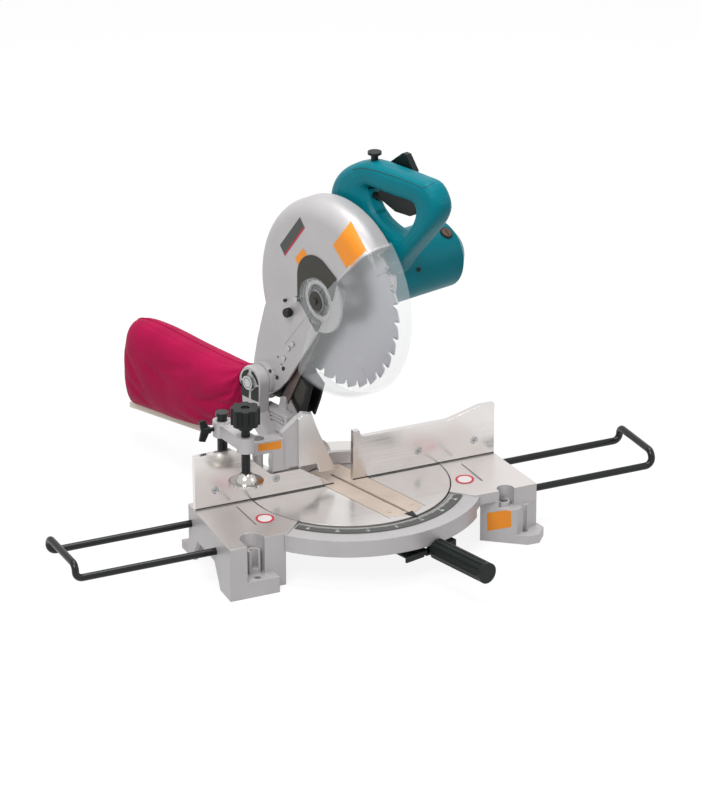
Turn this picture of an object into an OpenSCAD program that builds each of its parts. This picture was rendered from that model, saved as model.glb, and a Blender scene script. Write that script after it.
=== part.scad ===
// Compound mitre saw: a cast base with a turning table, a tilting arm and a chopping head.
// X points to the operator's right, Y to the back, Z up; the origin is the turning axis at bench level.
// The turning pieces are drawn in a frame whose Y axis runs back along the kerf.
// Heights of the arm, head, lever and vise are drawn for a table 76 high, and those pieces move with the table.

/* [Base] */
// Height of the table top above the bench
table_h = 76; // [72:1:80]
// Radius of the turning table
turn_r = 140; // [136:1:142]
// Gap between the turning table and its well
turn_gap = 2; // [1:0.5:3]
// Thickness of the turning table
turn_t = 19; // [17:0.5:19]
// Half width of the base at its front corners
wing_x = 233; // [228:1:240]
// Half width of the base at its rear corners
wing_rear_x = 225; // [220:1:230]
// Distance of the wings' rear edge behind the turning axis
wing_rear_y = 29; // [27:1:32]
// Distance of the front corner in front of the turning axis
front_y = 131; // [128:1:136]
// Distance of the set-back front faces in front of the turning axis
step_y = 113; // [110:1:116]
// Thickness of the cast side walls
wall = 6; // [5:0.5:8]
// Thickness of the cast table tops
top_t = 8; // [6:0.5:10]
// Width of the scale rim beyond the turning table
rim_w = 45; // [42:1:48]
// Depth of the scale rim's underside below the table top
rim_depth = 26; // [24:0.5:27]
// Half angle of the scale rim
rim_half = 52; // [50:1:54]
// Radius of the centre hub
hub_r = 30; // [26:1:34]
// Radius of the bench bolt holes
bench_hole_r = 4.5; // [3:0.5:5.5]
// Distance between the bench bolt holes of a pair
bench_hole_gap = 400; // [392:2:404]

/* [Table] */
// Mitre angle of the resting pose, to the right
mitre_rest = 15; // [0:1:30]
// Width of the kerf board
kerf_w = 63; // [56:1:70]
// Width of the kerf slot
kerf_slot = 3.6; // [3.4:0.1:3.9]
// Thickness of the kerf board
kerf_t = 3; // [2:0.5:4]
// Radius of the pivot bolt's shank
pivot_r = 8; // [6:0.5:9]
// Depth of the mitre grip's axis below the table top
grip_drop = 32; // [31:0.5:33]
// Radius of the mitre grip
grip_r = 14.5; // [12:0.5:16]
// Length of the mitre grip
grip_l = 102; // [90:2:110]
// Largest mitre angle to the right
mitre_right = 52; // [50:1:52]
// Largest mitre angle to the left
mitre_left = 45; // [45:1:47]

/* [Fence] */
// Distance of the fence face behind the turning axis
fence_y = 4.4; // [4:0.2:5]
// Thickness of the fence plates
fence_t = 8; // [7:0.5:9]
// Height of the left fence's high end above the table
fence_left_h = 78; // [74:1:82]
// Height of the left fence's low part above the table
fence_low_h = 32; // [28:1:33]
// Height of the right fence above the table
fence_right_h = 62.5; // [60:0.5:63]
// Height of the fence bolts above the table
fence_bolt_h = 25; // [23:0.5:26]
// Radius of the fence bolts' shanks
fence_bolt_r = 3; // [2.5:0.25:4]
// Distance of the sub-fence hinge to the left
sub_x = 125.5; // [124:0.5:127]
// Distance of the sub-fence hinge behind the turning axis
sub_y = 20; // [19:0.5:21]
// Radius of the sub-fence hinge pin
sub_pin_r = 5; // [4:0.5:6]
// Height of the sub-fence's peak above the table
sub_h = 112; // [104:1:112]

/* [Arm] */
// Radius of the tilting joint
tilt_r = 38; // [36:0.5:38]
// Distance of the tilting faces behind the turning axis
tilt_y = 96; // [95:0.5:97]
// Radius of the tilt pivot bolt
tilt_bolt_r = 6; // [5:0.5:8]
// Distance of the head hinge behind the turning axis
hinge_y = 142; // [141:0.5:143]
// Height of the head hinge
hinge_z = 195; // [194:0.5:197]
// Radius of the head hinge pin
hinge_pin_r = 8; // [6:0.5:9]
// Radius of the arm's ears
ear_r = 21; // [19:0.5:22]

/* [Blade] */
// Radius of the saw blade
blade_r = 130; // [127:0.5:130]
// Teeth of the saw blade
blade_teeth = 32; // [24:4:40]
// Thickness of the saw blade
blade_t = 2.4; // [1.8:0.1:2.6]
// Distance of the raised blade's axis behind the turning axis
blade_y = 22.5; // [21.5:0.5:23]
// Height of the raised blade's axis
blade_z = 347; // [346:0.5:349]
// Room between the blade's teeth and the outside of its cover
cover_over = 8; // [7:0.5:8.5]
// Thickness of the cover's wall
cover_wall = 4.5; // [3.5:0.5:4.5]
// Distance from the cover's outside to the lower guard's
guard_over = 4.5; // [4:0.25:5]
// Thickness of the lower guard
guard_t = 2.5; // [2:0.25:2.5]
// Radius of the guard's crank
crank_r = 19; // [18.5:0.25:19.5]
// Radius of the spindle
spindle_r = 8; // [6:0.5:9]

/* [Motor] */
// Radius of the motor housing
motor_r = 47; // [45:0.5:48]
// Distance of the motor axis in front of the turning axis
motor_y = 16.5; // [16:0.25:17]
// Height of the motor axis
motor_z = 381; // [380.5:0.25:381.5]
// Length of the motor housing's straight part
motor_l = 114; // [104:1:122]
// Teeth of the drive gear
gear_teeth = 40; // [40:1:40]
// Teeth of the motor pinion
pinion_teeth = 10; // [10:1:10]

/* [Handle] */
// Middle of the handle across the saw
handle_x = 38; // [37:0.5:39]
// Half thickness of the handle
handle_t = 19; // [16:0.5:20]
// Width of the trigger
trigger_w = 13; // [10:0.5:14]

/* [Vise and holders] */
// Distance of the vise post to the left
post_x = 173; // [171:0.5:175]
// Distance of the vise post behind the turning axis
post_y = 30; // [30:0.5:32]
// Radius of the vise post
post_r = 7; // [6:0.5:7.5]
// Height of the vise post's top
post_top = 197; // [194:1:205]
// Underside of the vise arm
vise_arm_z = 168; // [166:1:170]
// Reach of the vise screw in front of the post
vise_reach = 63; // [55:1:70]
// Radius of the vise screw
screw_r = 6; // [5:0.5:7]
// Radius of the holder rods
rod_r = 5; // [4:0.25:5]
// Depth of the holder rods below the table top
rod_drop = 25; // [24.5:0.25:25]
// Distance of the rear holder rod behind the turning axis
rod_back = 19; // [18:0.5:19]
// Distance of the front holder rod in front of the turning axis
rod_front = 76; // [74:0.5:78]
// Distance of the holder's end from the middle
rod_end = 437; // [400:1:440]

/* [Fits] */
// Radial clearance of a turning or sliding fit
fit = 0.05; // [0.02:0.01:0.1]
// Gap between the faces of moving pieces
gap = 0.3; // [0.2:0.05:0.6]

/* [Hidden] */
$fn = 96;

silver = "#B5B1B2";
bright = "#D5D6D8";
charcoal = "#47463F";
black = "#1E2422";
teal = "#0C7D83";
crimson = "#B0144E";
tan_board = "#C9BAA4";
steel = "#8E9294";
scale_grey = "#5A615E";
clear = [0.85, 0.9, 0.92, 0.45];

drawn_h = 76;
drawn_r = 140;
rise = table_h - drawn_h;
reach = turn_r - drawn_r;
well_r = turn_r + turn_gap;
rim_r = turn_r + rim_w;
rim_under = table_h - rim_depth;
grip_z = table_h - grip_drop;
rod_z = table_h - rod_drop;
turn_under = table_h - turn_t;
rim_top = table_h - 2;
scale_t = 1.2;
lever_pin_r = 2.5;
lever_drawn = [-133, 52.5];
lever_at = lever_drawn + [-reach, rise];
lever_out = rim_r - 9;
hub_top = turn_under - gap;
rod_bore_r = rod_r + fit;
pocket_x = 191;
boss_x = 187;
boss_y = 104;
ledge_z = 23;
left_hole_x = 189;
bench_front_y = 129;
bench_rear_y = 36;
label_block_z = table_h - 26;
boss_top = table_h - 20;

fence_top = table_h + fence_left_h;
fence_low = table_h + fence_low_h;
fence_right_top = table_h + fence_right_h;
fence_bolt_z = table_h + fence_bolt_h;
sub_top = table_h + sub_h;
sub_pin_z = table_h + 11;
sub_pin_l = 57;
fence_back = fence_y + fence_t;
upright_x = 195;
inner_bolt_left = 105;
inner_bolt_right = 109;
bridge_r = 70;
bridge_t = 6;
bridge_top = table_h + 18;
sub_low = fence_low + 3;
sub_face = fence_y + 0.6;
sub_plate_t = 12;

cover_r = blade_r + cover_over;
guard_r = cover_r + guard_over;
cover_left = -31;
cover_right = 11.5;
cover_in = cover_r - cover_wall;
cover_left_in = cover_left + cover_wall;
cover_right_in = cover_right - 3.5;
tail_step = 0.4;
shoulder_r = 26;
guard_round = guard_r - cover_r + shoulder_r;
guard_left = cover_left + shoulder_r - guard_round;
plate_t = cover_left - gap - guard_t - guard_left;
guard_hub_r = 22.7;
link_x = -21.7;
link_t = 3;
link_foot = [108, 170];
crank_at = [blade_y - 1, blade_z - crank_r];
ear_left = [-55, cover_left - 7];
ear_right = [cover_right + 0.8, 28];
house_x = cover_right;
house_t = 22;
gear_wall = 6;
motor_x0 = house_x + house_t;
motor_x1 = motor_x0 + motor_l;
gear_x = house_x + gear_wall + 1;
gear_w = 8;
axis_gap = norm([blade_y + motor_y, motor_z - blade_z]);
module_size = 2 * axis_gap / (gear_teeth + pinion_teeth);
vise_arm_t = 22;
screw_x = post_x - 7;
screw_y = post_y - vise_reach;

// Straight cylinder along X between two stations
module along_x(x0, x1, r, y, z, sides = 96) {
    translate([x0, y, z]) rotate([0, 90, 0]) cylinder(h = x1 - x0, r = r, $fn = sides);
}

// Straight cylinder along Y between two stations
module along_y(y0, y1, r, x, z, sides = 96) {
    translate([x, y0, z]) rotate([-90, 0, 0]) cylinder(h = y1 - y0, r = r, $fn = sides);
}

// Box between two corners
module block(low, high) {
    translate(low) cube(high - low);
}

// Plate drawn in Y and Z, between two stations along X
module side_plate(x0, x1) {
    translate([x0, 0, 0]) rotate([90, 0, 90]) linear_extrude(x1 - x0) children();
}

// Plate drawn in X and Z, between two stations along Y
module front_plate(y0, y1) {
    translate([0, y1, 0]) rotate([90, 0, 0]) linear_extrude(y1 - y0) children();
}

// Solid of revolution about the blade axis, from one angle to another.
// Angles are 0 to the front, 90 up and 180 to the back.
module blade_sector(from_angle, to_angle) {
    translate([0, blade_y, blade_z]) rotate([0, 90, 0]) rotate([0, 0, 270 - to_angle])
        rotate_extrude(angle = to_angle - from_angle) children();
}

// Frame of the turning pieces
module turned() {
    rotate([0, 0, mitre_rest]) children();
}

// Frame of the pieces that are drawn for a table at the drawn height and follow the table
module lifted() {
    translate([0, 0, rise]) children();
}

// Point on a smooth curve between p1 and p2
function blend(p0, p1, p2, p3, t) = 0.5 * (2 * p1 + (p2 - p0) * t
    + (2 * p0 - 5 * p1 + 4 * p2 - p3) * t * t + (3 * p1 - p0 - 3 * p2 + p3) * t * t * t);

// Smooth closed curve through points, with steps between neighbours
function closed_curve(p, steps) = let (n = len(p))
    [for (i = [0:n - 1]) for (k = [0:steps - 1])
        blend(p[(i + n - 1) % n], p[i], p[(i + 1) % n], p[(i + 2) % n], k / steps)];

// Faces between rings of equal length; a loop joins the last ring to the first
function ring_faces(rings, size, loop) = [
    for (i = [0:rings - (loop ? 1 : 2)]) for (k = [0:size - 1])
        let (a = i * size, b = ((i + 1) % rings) * size, j = (k + 1) % size)
        each [[a + k, b + j, b + k], [a + k, a + j, b + j]]];

// Skin over a list of rings, capped unless it is a loop
module skin(rings, loop = false) {
    size = len(rings[0]);
    count = len(rings);
    points = [for (r = rings) each r];
    caps = loop ? [] : [
        [for (k = [size - 1:-1:0]) k],
        [for (k = [0:size - 1]) (count - 1) * size + k]];
    polyhedron(points, concat(ring_faces(count, size, loop), caps), convexity = 6);
}

// Squared-off round, used for soft sections
function soft(a, power) = sign(a) * pow(abs(a), power);

// Gear outline with straight-sided teeth, half a backlash off each flank
module gear_outline(teeth, size, start) {
    pitch_r = teeth * size / 2;
    root_r = pitch_r - 1.25 * size;
    tip_r = pitch_r + 0.9 * size;
    step = 360 / teeth;
    flank = step * 0.2;
    polygon([for (i = [0:teeth - 1]) each [
        for (c = [[root_r, -1.5], [pitch_r, -1.1], [tip_r, -0.55], [tip_r, 0.55], [pitch_r, 1.1], [root_r, 1.5]])
            let (a = start + i * step + c[1] * flank) c[0] * [cos(a), sin(a)]]]);
}

// Base

module wing_plan(side) {
    corner_y = side < 0 ? front_y : step_y;
    polygon([
        [side * wing_rear_x, wing_rear_y], [side * wing_x, -corner_y], [side * 208, -corner_y],
        [side * 208, -step_y], [side * 140, -step_y], [side * 90, -60], [side * 90, wing_rear_y]]);
}

module wing_hollow(side) {
    difference() {
        polygon([
            [side * (wing_rear_x - wall), wing_rear_y - wall], [side * (wing_x - wall), 16 - step_y],
            [side * 206, 30 - step_y], [side * 160, 30 - step_y], [side * 150, wall - step_y],
            [side * 120, -80], [side * 120, wing_rear_y - wall]]);
        circle(well_r + wall);
    }
}

module wing(side) {
    foot_t = 12;
    difference() {
        union() {
            linear_extrude(table_h) wing_plan(side);
            translate([side * bench_hole_gap / 2 - 25, 10, 0]) cube([50, 44, foot_t]);
        }
        translate([0, 0, -1]) linear_extrude(table_h - top_t + 1) wing_hollow(side);
        translate([side * bench_hole_gap / 2, bench_rear_y, -1]) cylinder(h = foot_t + 2, r = bench_hole_r);
        side_arch(side);
        saw_groove(side);
    }
    rod_rib(side);
}

module side_arch(side) {
    arch = [[-86, 10], [-70, 34], [-6, 34], [8, 14]];
    side_plate(side < 0 ? -wing_x - 1 : wing_rear_x - wall - 14, side < 0 ? 14 + wall - wing_rear_x : wing_x + 1)
        polygon(concat([[-92, -1]], arch, [[10, -1]]));
}

module saw_groove(side) {
    groove_x = 169;
    translate([side * groove_x - 1, -72, table_h - 1]) cube([2, 63, 2]);
}

module rod_rib(side) {
    rib_x = 189;
    translate([side * rib_x - 4, -80, rod_z - 9]) cube([8, 102, table_h - top_t / 2 - rod_z + 9]);
}

module left_front() {
    block([-208, -front_y, 0], [-161, -90, ledge_z]);
    translate([-boss_x, -boss_y, 0]) cylinder(h = boss_top, r = 9);
}

module right_front() {
    ear_t = 13;
    linear_extrude(label_block_z)
        polygon([[158, -98], [174, -125], [196, -129], [229, -step_y], [229, -90], [158, -90]]);
    translate([boss_x, -boss_y, 0]) cylinder(h = boss_top, r = 9);
    linear_extrude(ear_t)
        polygon([[186, -120], [200, -140], [224, -141], [240, -122], [238, -107], [226, -98], [190, -104]]);
}

module rim_ring() {
    rotate([0, 0, -90 - rim_half]) rotate_extrude(angle = 2 * rim_half) difference() {
        translate([well_r, rim_under]) square([rim_r - well_r, rim_top - rim_under]);
        translate([well_r + wall, rim_under - 1]) square([rim_r - well_r - 2 * wall, rim_top - rim_under - wall + 1]);
    }
}

// Room under the wings for the lock lever and the grip at the largest mitre angles
module lever_way() {
    spread = 17;
    rotate([0, 0, -90 - mitre_left - spread]) rotate_extrude(angle = mitre_left + mitre_right + 2 * spread)
        translate([well_r - 1, -1]) square([lever_out + 8 - well_r, rim_under + 0.5]);
    rotate([0, 0, mitre_right]) block([-grip_r - 2, -300, -1], [grip_r + 2, -lever_out, grip_z + grip_r + 2]);
}

module centre_beam() {
    beam_w = 28;
    difference() {
        block([-well_r - 3, -beam_w / 2, 18], [well_r + 3, beam_w / 2, 42]);
        block([-well_r - 4, wall - beam_w / 2, 17], [well_r + 4, beam_w / 2 - wall, 36]);
    }
    cylinder(h = hub_top, r = hub_r);
}

module uprights() {
    for (side = [-1, 1]) {
        translate([side * upright_x - 10, fence_back, table_h - 1]) cube([20, 10, 37]);
        translate([side * upright_x - 3, fence_back + 9, table_h - 1]) cube([6, 7.5, 24]);
    }
    translate([-post_x, post_y, rod_z + rod_r + 2]) cylinder(h = 27, r = post_r + 5);
}

module base_casting() color(silver) {
    difference() {
        union() {
            difference() {
                union() {
                    wing(-1);
                    wing(1);
                    left_front();
                    right_front();
                    rim_ring();
                }
                translate([0, 0, -1]) cylinder(h = table_h + 2, r = well_r);
                lever_way();
                block([-208, -front_y - 1, ledge_z], [-pocket_x + 16, -108, table_h + 1]);
                difference() {
                    translate([-pocket_x, -108, ledge_z]) cylinder(h = table_h, r = 16.5);
                    translate([-boss_x, -boss_y, 0]) cylinder(h = boss_top, r = 9);
                }
                difference() {
                    translate([boss_x, -boss_y - 5, label_block_z]) cylinder(h = table_h, r = 12);
                    translate([boss_x, -boss_y, 0]) cylinder(h = boss_top, r = 9);
                }
            }
            centre_beam();
            uprights();
        }
        for (x = [-boss_x, boss_x]) translate([x, -boss_y, 30]) cylinder(h = table_h, r = 6);
        translate([-left_hole_x, -bench_front_y + 8, -1]) cylinder(h = ledge_z + 2, r = bench_hole_r);
        translate([bench_hole_gap - left_hole_x, -bench_front_y + 8, -1]) cylinder(h = table_h, r = bench_hole_r);
        for (y = [rod_back, -rod_front]) for (side = [-1, 1])
            along_x(side < 0 ? -wing_x - 1 : 140, side < 0 ? -140 : wing_x + 1, rod_bore_r, y, rod_z);
        for (x = [-upright_x, upright_x])
            along_y(fence_back - 1, fence_back + 20, fence_bolt_r + fit, x, fence_bolt_z);
        translate([0, 0, 20]) cylinder(h = table_h, r = pivot_r + fit);
        translate([-post_x, post_y, rod_z + rod_r + 4]) cylinder(h = 40, r = post_r + fit);
        for (x = [-189, 189]) for (y = [rod_back, -rod_front])
            translate([x, y, 0]) cylinder(h = rod_z, r = 3 + fit);
    }
}

module scale_plate() color(scale_grey) {
    rotate([0, 0, 1 - 90 - rim_half]) rotate_extrude(angle = 2 * rim_half - 2)
        translate([well_r + 2, rim_top]) square([17.5, scale_t]);
}

module pivot_bolt() color(steel) {
    head_z = turn_under + 3;
    translate([0, 0, 21]) cylinder(h = head_z - 21, r = pivot_r);
    translate([0, 0, head_z]) cylinder(h = 5, r = pivot_r + 4, $fn = 6);
}

// U-shaped rod whose end is bent up
module holder(side) color(black) {
    bend_r = 10;
    end_x = rod_end - rod_r;
    mirror([side < 0 ? 1 : 0, 0, 0]) {
        for (y = [rod_back, -rod_front]) {
            along_x(150, end_x - bend_r, rod_r, y, rod_z);
            translate([end_x - bend_r, y, rod_z + bend_r]) rotate([90, 0, 0]) rotate([0, 0, -90])
                rotate_extrude(angle = 90) translate([bend_r, 0]) circle(rod_r);
        }
        translate([end_x, rod_back - bend_r, rod_z + bend_r]) rotate([90, 0, 90])
            rotate_extrude(angle = 90) translate([bend_r, 0]) circle(rod_r);
        translate([end_x, bend_r - rod_front, rod_z + bend_r]) rotate([90, 0, 90]) rotate([0, 0, 90])
            rotate_extrude(angle = 90) translate([bend_r, 0]) circle(rod_r);
        along_y(bend_r - rod_front, rod_back - bend_r, rod_r, end_x, rod_z + 2 * bend_r);
    }
}

module holder_left() holder(-1);
module holder_right() holder(1);

module holder_screws() color(steel) {
    for (x = [-189, 189]) for (y = [rod_back, -rod_front]) translate([x, y, rod_z - rod_r - gap - 16]) {
        cylinder(h = 16, r = 3);
        translate([0, 0, -4]) cylinder(h = 4, r = 4.4, $fn = 6);
    }
}

// Fence

module fence_left() color(bright) {
    difference() {
        union() {
            front_plate(fence_y, fence_back) polygon([
                [-wing_rear_x, table_h], [-wing_rear_x, fence_top], [-171, fence_top + 1.6],
                [-143.6, fence_low + 29.5], [-112.8, fence_low], [-70, fence_low], [-19, table_h + 1],
                [-19, table_h]]);
            translate([-sub_x, sub_y, sub_pin_z - 1]) cylinder(h = fence_low - sub_pin_z + 1.6, r = 11);
            block([-sub_x - 8, fence_back - 1, sub_pin_z - 1], [-sub_x + 8, sub_y, fence_low]);
        }
        for (x = [-upright_x, -inner_bolt_left]) bolt_hole(x);
        translate([-sub_x, sub_y, sub_pin_z - 2]) cylinder(h = sub_pin_l, r = sub_pin_r);
    }
}

module fence_right() color(bright) {
    difference() {
        front_plate(fence_y, fence_back) polygon([
            [10, table_h], [11, fence_right_top + 10], [20, fence_right_top + 10], [22, fence_right_top + 2],
            [30, fence_right_top], [155, fence_right_top], [204, fence_right_top + 12.7],
            [wing_rear_x + 1, fence_right_top + 12.7], [wing_rear_x + 1, table_h]]);
        for (x = [inner_bolt_right, upright_x]) bolt_hole(x);
        linear_extrude(fence_top + 10) polygon([[-9, -6], [17, 20], [-9, 20]]);
    }
}

module bolt_hole(x) {
    along_y(fence_y - 1, fence_back + 1, fence_bolt_r + fit, x, fence_bolt_z);
    along_y(fence_y - 1, fence_y + 5, fence_bolt_r + 2.5, x, fence_bolt_z);
}

module fence_bridge() color(silver) {
    link_y = 17.4;
    foot_z = table_h + 1.5;
    difference() {
        union() {
            translate([0, 0, foot_z]) rotate([0, 0, 12]) rotate_extrude(angle = 156)
                translate([bridge_r - bridge_t, 0]) square([bridge_t, bridge_top - foot_z]);
            for (side = [-1, 1]) {
                x = side < 0 ? inner_bolt_left : inner_bolt_right;
                block([side < 0 ? -x - 9 : 66, fence_back, foot_z + 1], [side < 0 ? -66 : x + 9, link_y, bridge_top - 1]);
                block([side * x - 9, fence_back, foot_z], [side * x + 9, link_y + 2, fence_low]);
            }
        }
        for (x = [-inner_bolt_left, inner_bolt_right])
            along_y(fence_back - 1, link_y + 4, fence_bolt_r + fit, x, fence_bolt_z);
    }
}

module fence_bolts() color(steel) {
    for (x = [-upright_x, -inner_bolt_left, inner_bolt_right, upright_x]) difference() {
        union() {
            along_y(fence_y + 0.5, fence_y + 5, fence_bolt_r + 2.2, x, fence_bolt_z);
            along_y(fence_y + 4, fence_back + 6, fence_bolt_r, x, fence_bolt_z);
        }
        along_y(fence_y, fence_y + 3, 2.5, x, fence_bolt_z, 6);
    }
}

module sub_fence_pin() color(steel) {
    translate([-sub_x, sub_y, sub_pin_z]) cylinder(h = sub_pin_l, r = sub_pin_r);
    translate([-sub_x, sub_y, sub_pin_z + sub_pin_l]) cylinder(h = 5, r = 8, $fn = 6);
}

module sub_fence() color(silver) {
    knuckle_r = 12.5;
    knuckle_z = fence_low + 32;
    foot_r = sub_y - fence_back - gap;
    foot_z = fence_low + 0.6 + gap;
    block_top = sub_top - 30;
    tip_z = table_h + 21;
    label_x = -93;
    back_y = sub_face + sub_plate_t;
    difference() {
        union() {
            translate([-sub_x, sub_y, knuckle_z]) cylinder(h = block_top - knuckle_z, r = knuckle_r);
            block([-sub_x - knuckle_r, sub_face, knuckle_z], [label_x, sub_y, block_top]);
            block([-110, sub_face, sub_low], [label_x, back_y, block_top]);
            block([-sub_x, sub_y - 5, knuckle_z], [-100, sub_y + 5, block_top]);
            front_plate(sub_face + 3, back_y) polygon([
                [label_x - 1, sub_low], [label_x - 1, sub_top - 24], [-70, sub_top - 4], [-70, sub_low]]);
            front_plate(sub_face, back_y) polygon([
                [-71, sub_low], [-71, sub_top - 6], [-63, sub_top], [-52, sub_top - 3], [-16, tip_z], [-39, tip_z],
                [-44, sub_low]]);
        }
        translate([-sub_x, sub_y, table_h]) cylinder(h = knuckle_z - table_h, r = 20.5);
        linear_extrude(sub_top) polygon([[-16, 10], [-27, 18.6], [-10, 18.6], [-10, 10]]);
        translate([-sub_x, sub_y, table_h]) cylinder(h = sub_h, r = sub_pin_r + fit);
        translate([-sub_x, sub_y, sub_pin_z + sub_pin_l - 2]) cylinder(h = sub_h, r = 9);
    }
    difference() {
        translate([-sub_x, sub_y, foot_z]) cylinder(h = knuckle_z - foot_z, r = foot_r);
        translate([-sub_x, sub_y, table_h]) cylinder(h = sub_h, r = sub_pin_r + fit);
    }
}

// Turning table

module turn_base() color(bright) turned() {
    lug_x = 7;
    cut_x = tilt_r + 12;
    difference() {
        union() {
            difference() {
                translate([0, 0, turn_under]) cylinder(h = turn_t, r = turn_r);
                block([-cut_x, tilt_y, turn_under - 1], [cut_x, turn_r + 1, table_h + 1]);
            }
            along_y(tilt_y - 16, tilt_y, tilt_r, 0, table_h);
            block([-lug_x, -turn_r - 10, grip_z - 7], [lug_x, 12 - turn_r, rim_under - 1]);
            block([-lug_x, 2 - turn_r, grip_z - 7], [lug_x, 28 - turn_r, turn_under + 1]);
        }
        kerf_pocket(0.2, table_h - kerf_t, table_h + 1);
        block([-6, 10 - turn_r, turn_under + 7], [6, 40, table_h]);
        translate([0, 0, turn_under - 1]) cylinder(h = turn_t, r = pivot_r + fit);
        translate([0, 0, turn_under + 3]) cylinder(h = turn_t, r = pivot_r + 5);
        along_y(tilt_y - 20, tilt_y + 1, tilt_bolt_r, 0, table_h);
        along_y(tilt_y - 22, tilt_y - 16, tilt_bolt_r + 6, 0, table_h);
        along_y(-turn_r - 11, 22 - turn_r, 5 + fit, 0, grip_z);
        along_x(-30, 30, lever_pin_r, lever_at[0], lever_at[1]);
    }
}

module kerf_pocket(grow, low, high) {
    translate([0.5, 0, low]) linear_extrude(high - low) polygon([
        [-kerf_w / 2 - grow, 60 + grow], [-kerf_w / 2 - grow, 18 - turn_r - grow], [-8, 7 - turn_r - grow],
        [8, 7 - turn_r - grow], [kerf_w / 2 + grow, 18 - turn_r - grow], [kerf_w / 2 + grow, 60 + grow]]);
}

module kerf_board() color(tan_board) turned() difference() {
    kerf_pocket(0, table_h - kerf_t, table_h);
    block([-kerf_slot / 2, 12 - turn_r, 0], [kerf_slot / 2, 36, table_h + 1]);
    for (y = [28 - turn_r, 48]) for (x = [-20, 20]) translate([x, y, table_h - 1]) cylinder(h = 2, r = 3);
}

module mitre_pointer() color(black) turned()
    translate([0, 0, table_h]) linear_extrude(0.8) polygon([[-7, 12 - turn_r], [0, -turn_r - 8], [7, 12 - turn_r]]);

module tilt_bolt() color(steel) turned() {
    along_y(tilt_y - 16, tilt_y + 44, tilt_bolt_r, 0, table_h);
    along_y(tilt_y - 21, tilt_y - 16, tilt_bolt_r + 4, 0, table_h, 6);
}

module lever_pin() color(steel) turned() along_x(-22, 22, lever_pin_r, lever_at[0], lever_at[1]);

module lock_lever() color(black) turned() lifted() translate([0, -reach, 0]) {
    difference() {
        union() {
            for (side = [-1, 1]) {
                side_plate(side < 0 ? -14 : 8, side < 0 ? -8 : 14)
                    polygon([[-129, 48], [-129, 56], [-138, 56], [-141, 49], [-176, 40], [-176, 33], [-160, 33]]);
                block([side < 0 ? -44 : 13, -176, 37], [side < 0 ? -13 : 44, -152, 40]);
                block([side < 0 ? -44 : 13, -176, 31], [side < 0 ? -13 : 44, -173, 38]);
            }
            block([-9, -176, 31], [9, -160, 33.5]);
        }
        along_x(-30, 30, lever_pin_r + fit, lever_drawn[0], lever_drawn[1]);
    }
}

module mitre_grip() color(black) turned() {
    start = rim_r + 3;
    flutes = 12;
    difference() {
        along_y(-start - grip_l, -start, grip_r, 0, grip_z);
        for (i = [0:flutes - 1]) translate([0, 0, grip_z]) rotate([0, i * 360 / flutes, 0])
            translate([0, 0, -grip_z]) along_y(6 - start - grip_l, -start + 1, 1.4, 0, grip_z + grip_r, 32);
    }
    along_y(-start, 20 - turn_r, 5, 0, grip_z);
}

// Tilting arm

module ear_shape() {
    union() {
        translate([hinge_y, hinge_z]) circle(ear_r);
        polygon([[hinge_y - ear_r, hinge_z], [hinge_y - 17, 148], [hinge_y + 17, 148], [hinge_y + ear_r, hinge_z]]);
    }
}

module arm() color(silver) turned() lifted() {
    hub_back = tilt_y + 30;
    difference() {
        union() {
            along_y(tilt_y + gap, hub_back, tilt_r, 0, drawn_h);
            hull() {
                block([-35, tilt_y + 3, 86], [-13, hub_back, 98]);
                block([ear_left[0], 126, 148], [ear_left[1], 158, 156]);
            }
            hull() {
                block([13, tilt_y + 3, 86], [35, hub_back, 98]);
                block([ear_right[0], 126, 148], [ear_right[1], 158, 156]);
            }
            side_plate(ear_left[0], ear_left[1]) ear_shape();
            side_plate(ear_right[0], ear_right[1]) ear_shape();
            side_plate(-37, -22) polygon([
                [86, 144], [86, 154], [90, 158], [140, 158], [146, 150], [140, 140], [118, 126], [98, 128]]);
            block([ear_left[1] - 4, 128, 140], [-36, 146, 157]);
            side_plate(-26, -22) polygon([
                [link_foot[0] - 8, 156], [link_foot[0] - 5, link_foot[1]], [link_foot[0] + 5, link_foot[1]],
                [link_foot[0] + 10, 156]]);
            along_x(-26, -22, 6, link_foot[0], link_foot[1]);
            along_x(-26, link_x + link_t, 4, link_foot[0], link_foot[1]);
        }
        along_y(tilt_y - 1, hub_back + 1, tilt_bolt_r + fit, 0, drawn_h);
        along_x(ear_left[0] - 1, ear_right[1] + 1, hinge_pin_r, hinge_y, hinge_z);
        for (i = [0:3]) translate([0, hinge_y, hinge_z]) rotate([45 + i * 90, 0, 0]) translate([0, -hinge_y, -hinge_z])
            along_x(ear_left[0] - 1, ear_left[0] + 4, 3.6, hinge_y + 14, hinge_z, 32);
        for (i = [0:2]) block([-38, 92, 140 + i * 5], [-35.2, 134, 142.5 + i * 5]);
        along_x(-38, -21, 2.5, 94, 146.5);
        along_x(ear_right[0] - 1, ear_right[1] + 1, 4 + fit, 132, 166);
    }
}

module hinge_pin() color(steel) turned() lifted() {
    along_x(ear_left[0] - 2, ear_right[1] + 3, hinge_pin_r, hinge_y, hinge_z);
    along_x(ear_left[0] - 6, ear_left[0], hinge_pin_r + 2, hinge_y, hinge_z);
}

module return_spring() color(steel) turned() lifted() {
    turns = 6;
    wire_r = 1.5;
    coil_r = hinge_pin_r + wire_r + 1;
    length = 26;
    steps = turns * 16;
    rings = [for (i = [0:steps])
        let (a = i * 360 / 16, x = -26 + length * i / steps, out = [0, cos(a), sin(a)])
        [for (k = [0:5]) [x, hinge_y, hinge_z] + out * (coil_r + wire_r * cos(60 * k)) + [wire_r * sin(60 * k), 0, 0]]];
    skin(rings);
}

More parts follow.
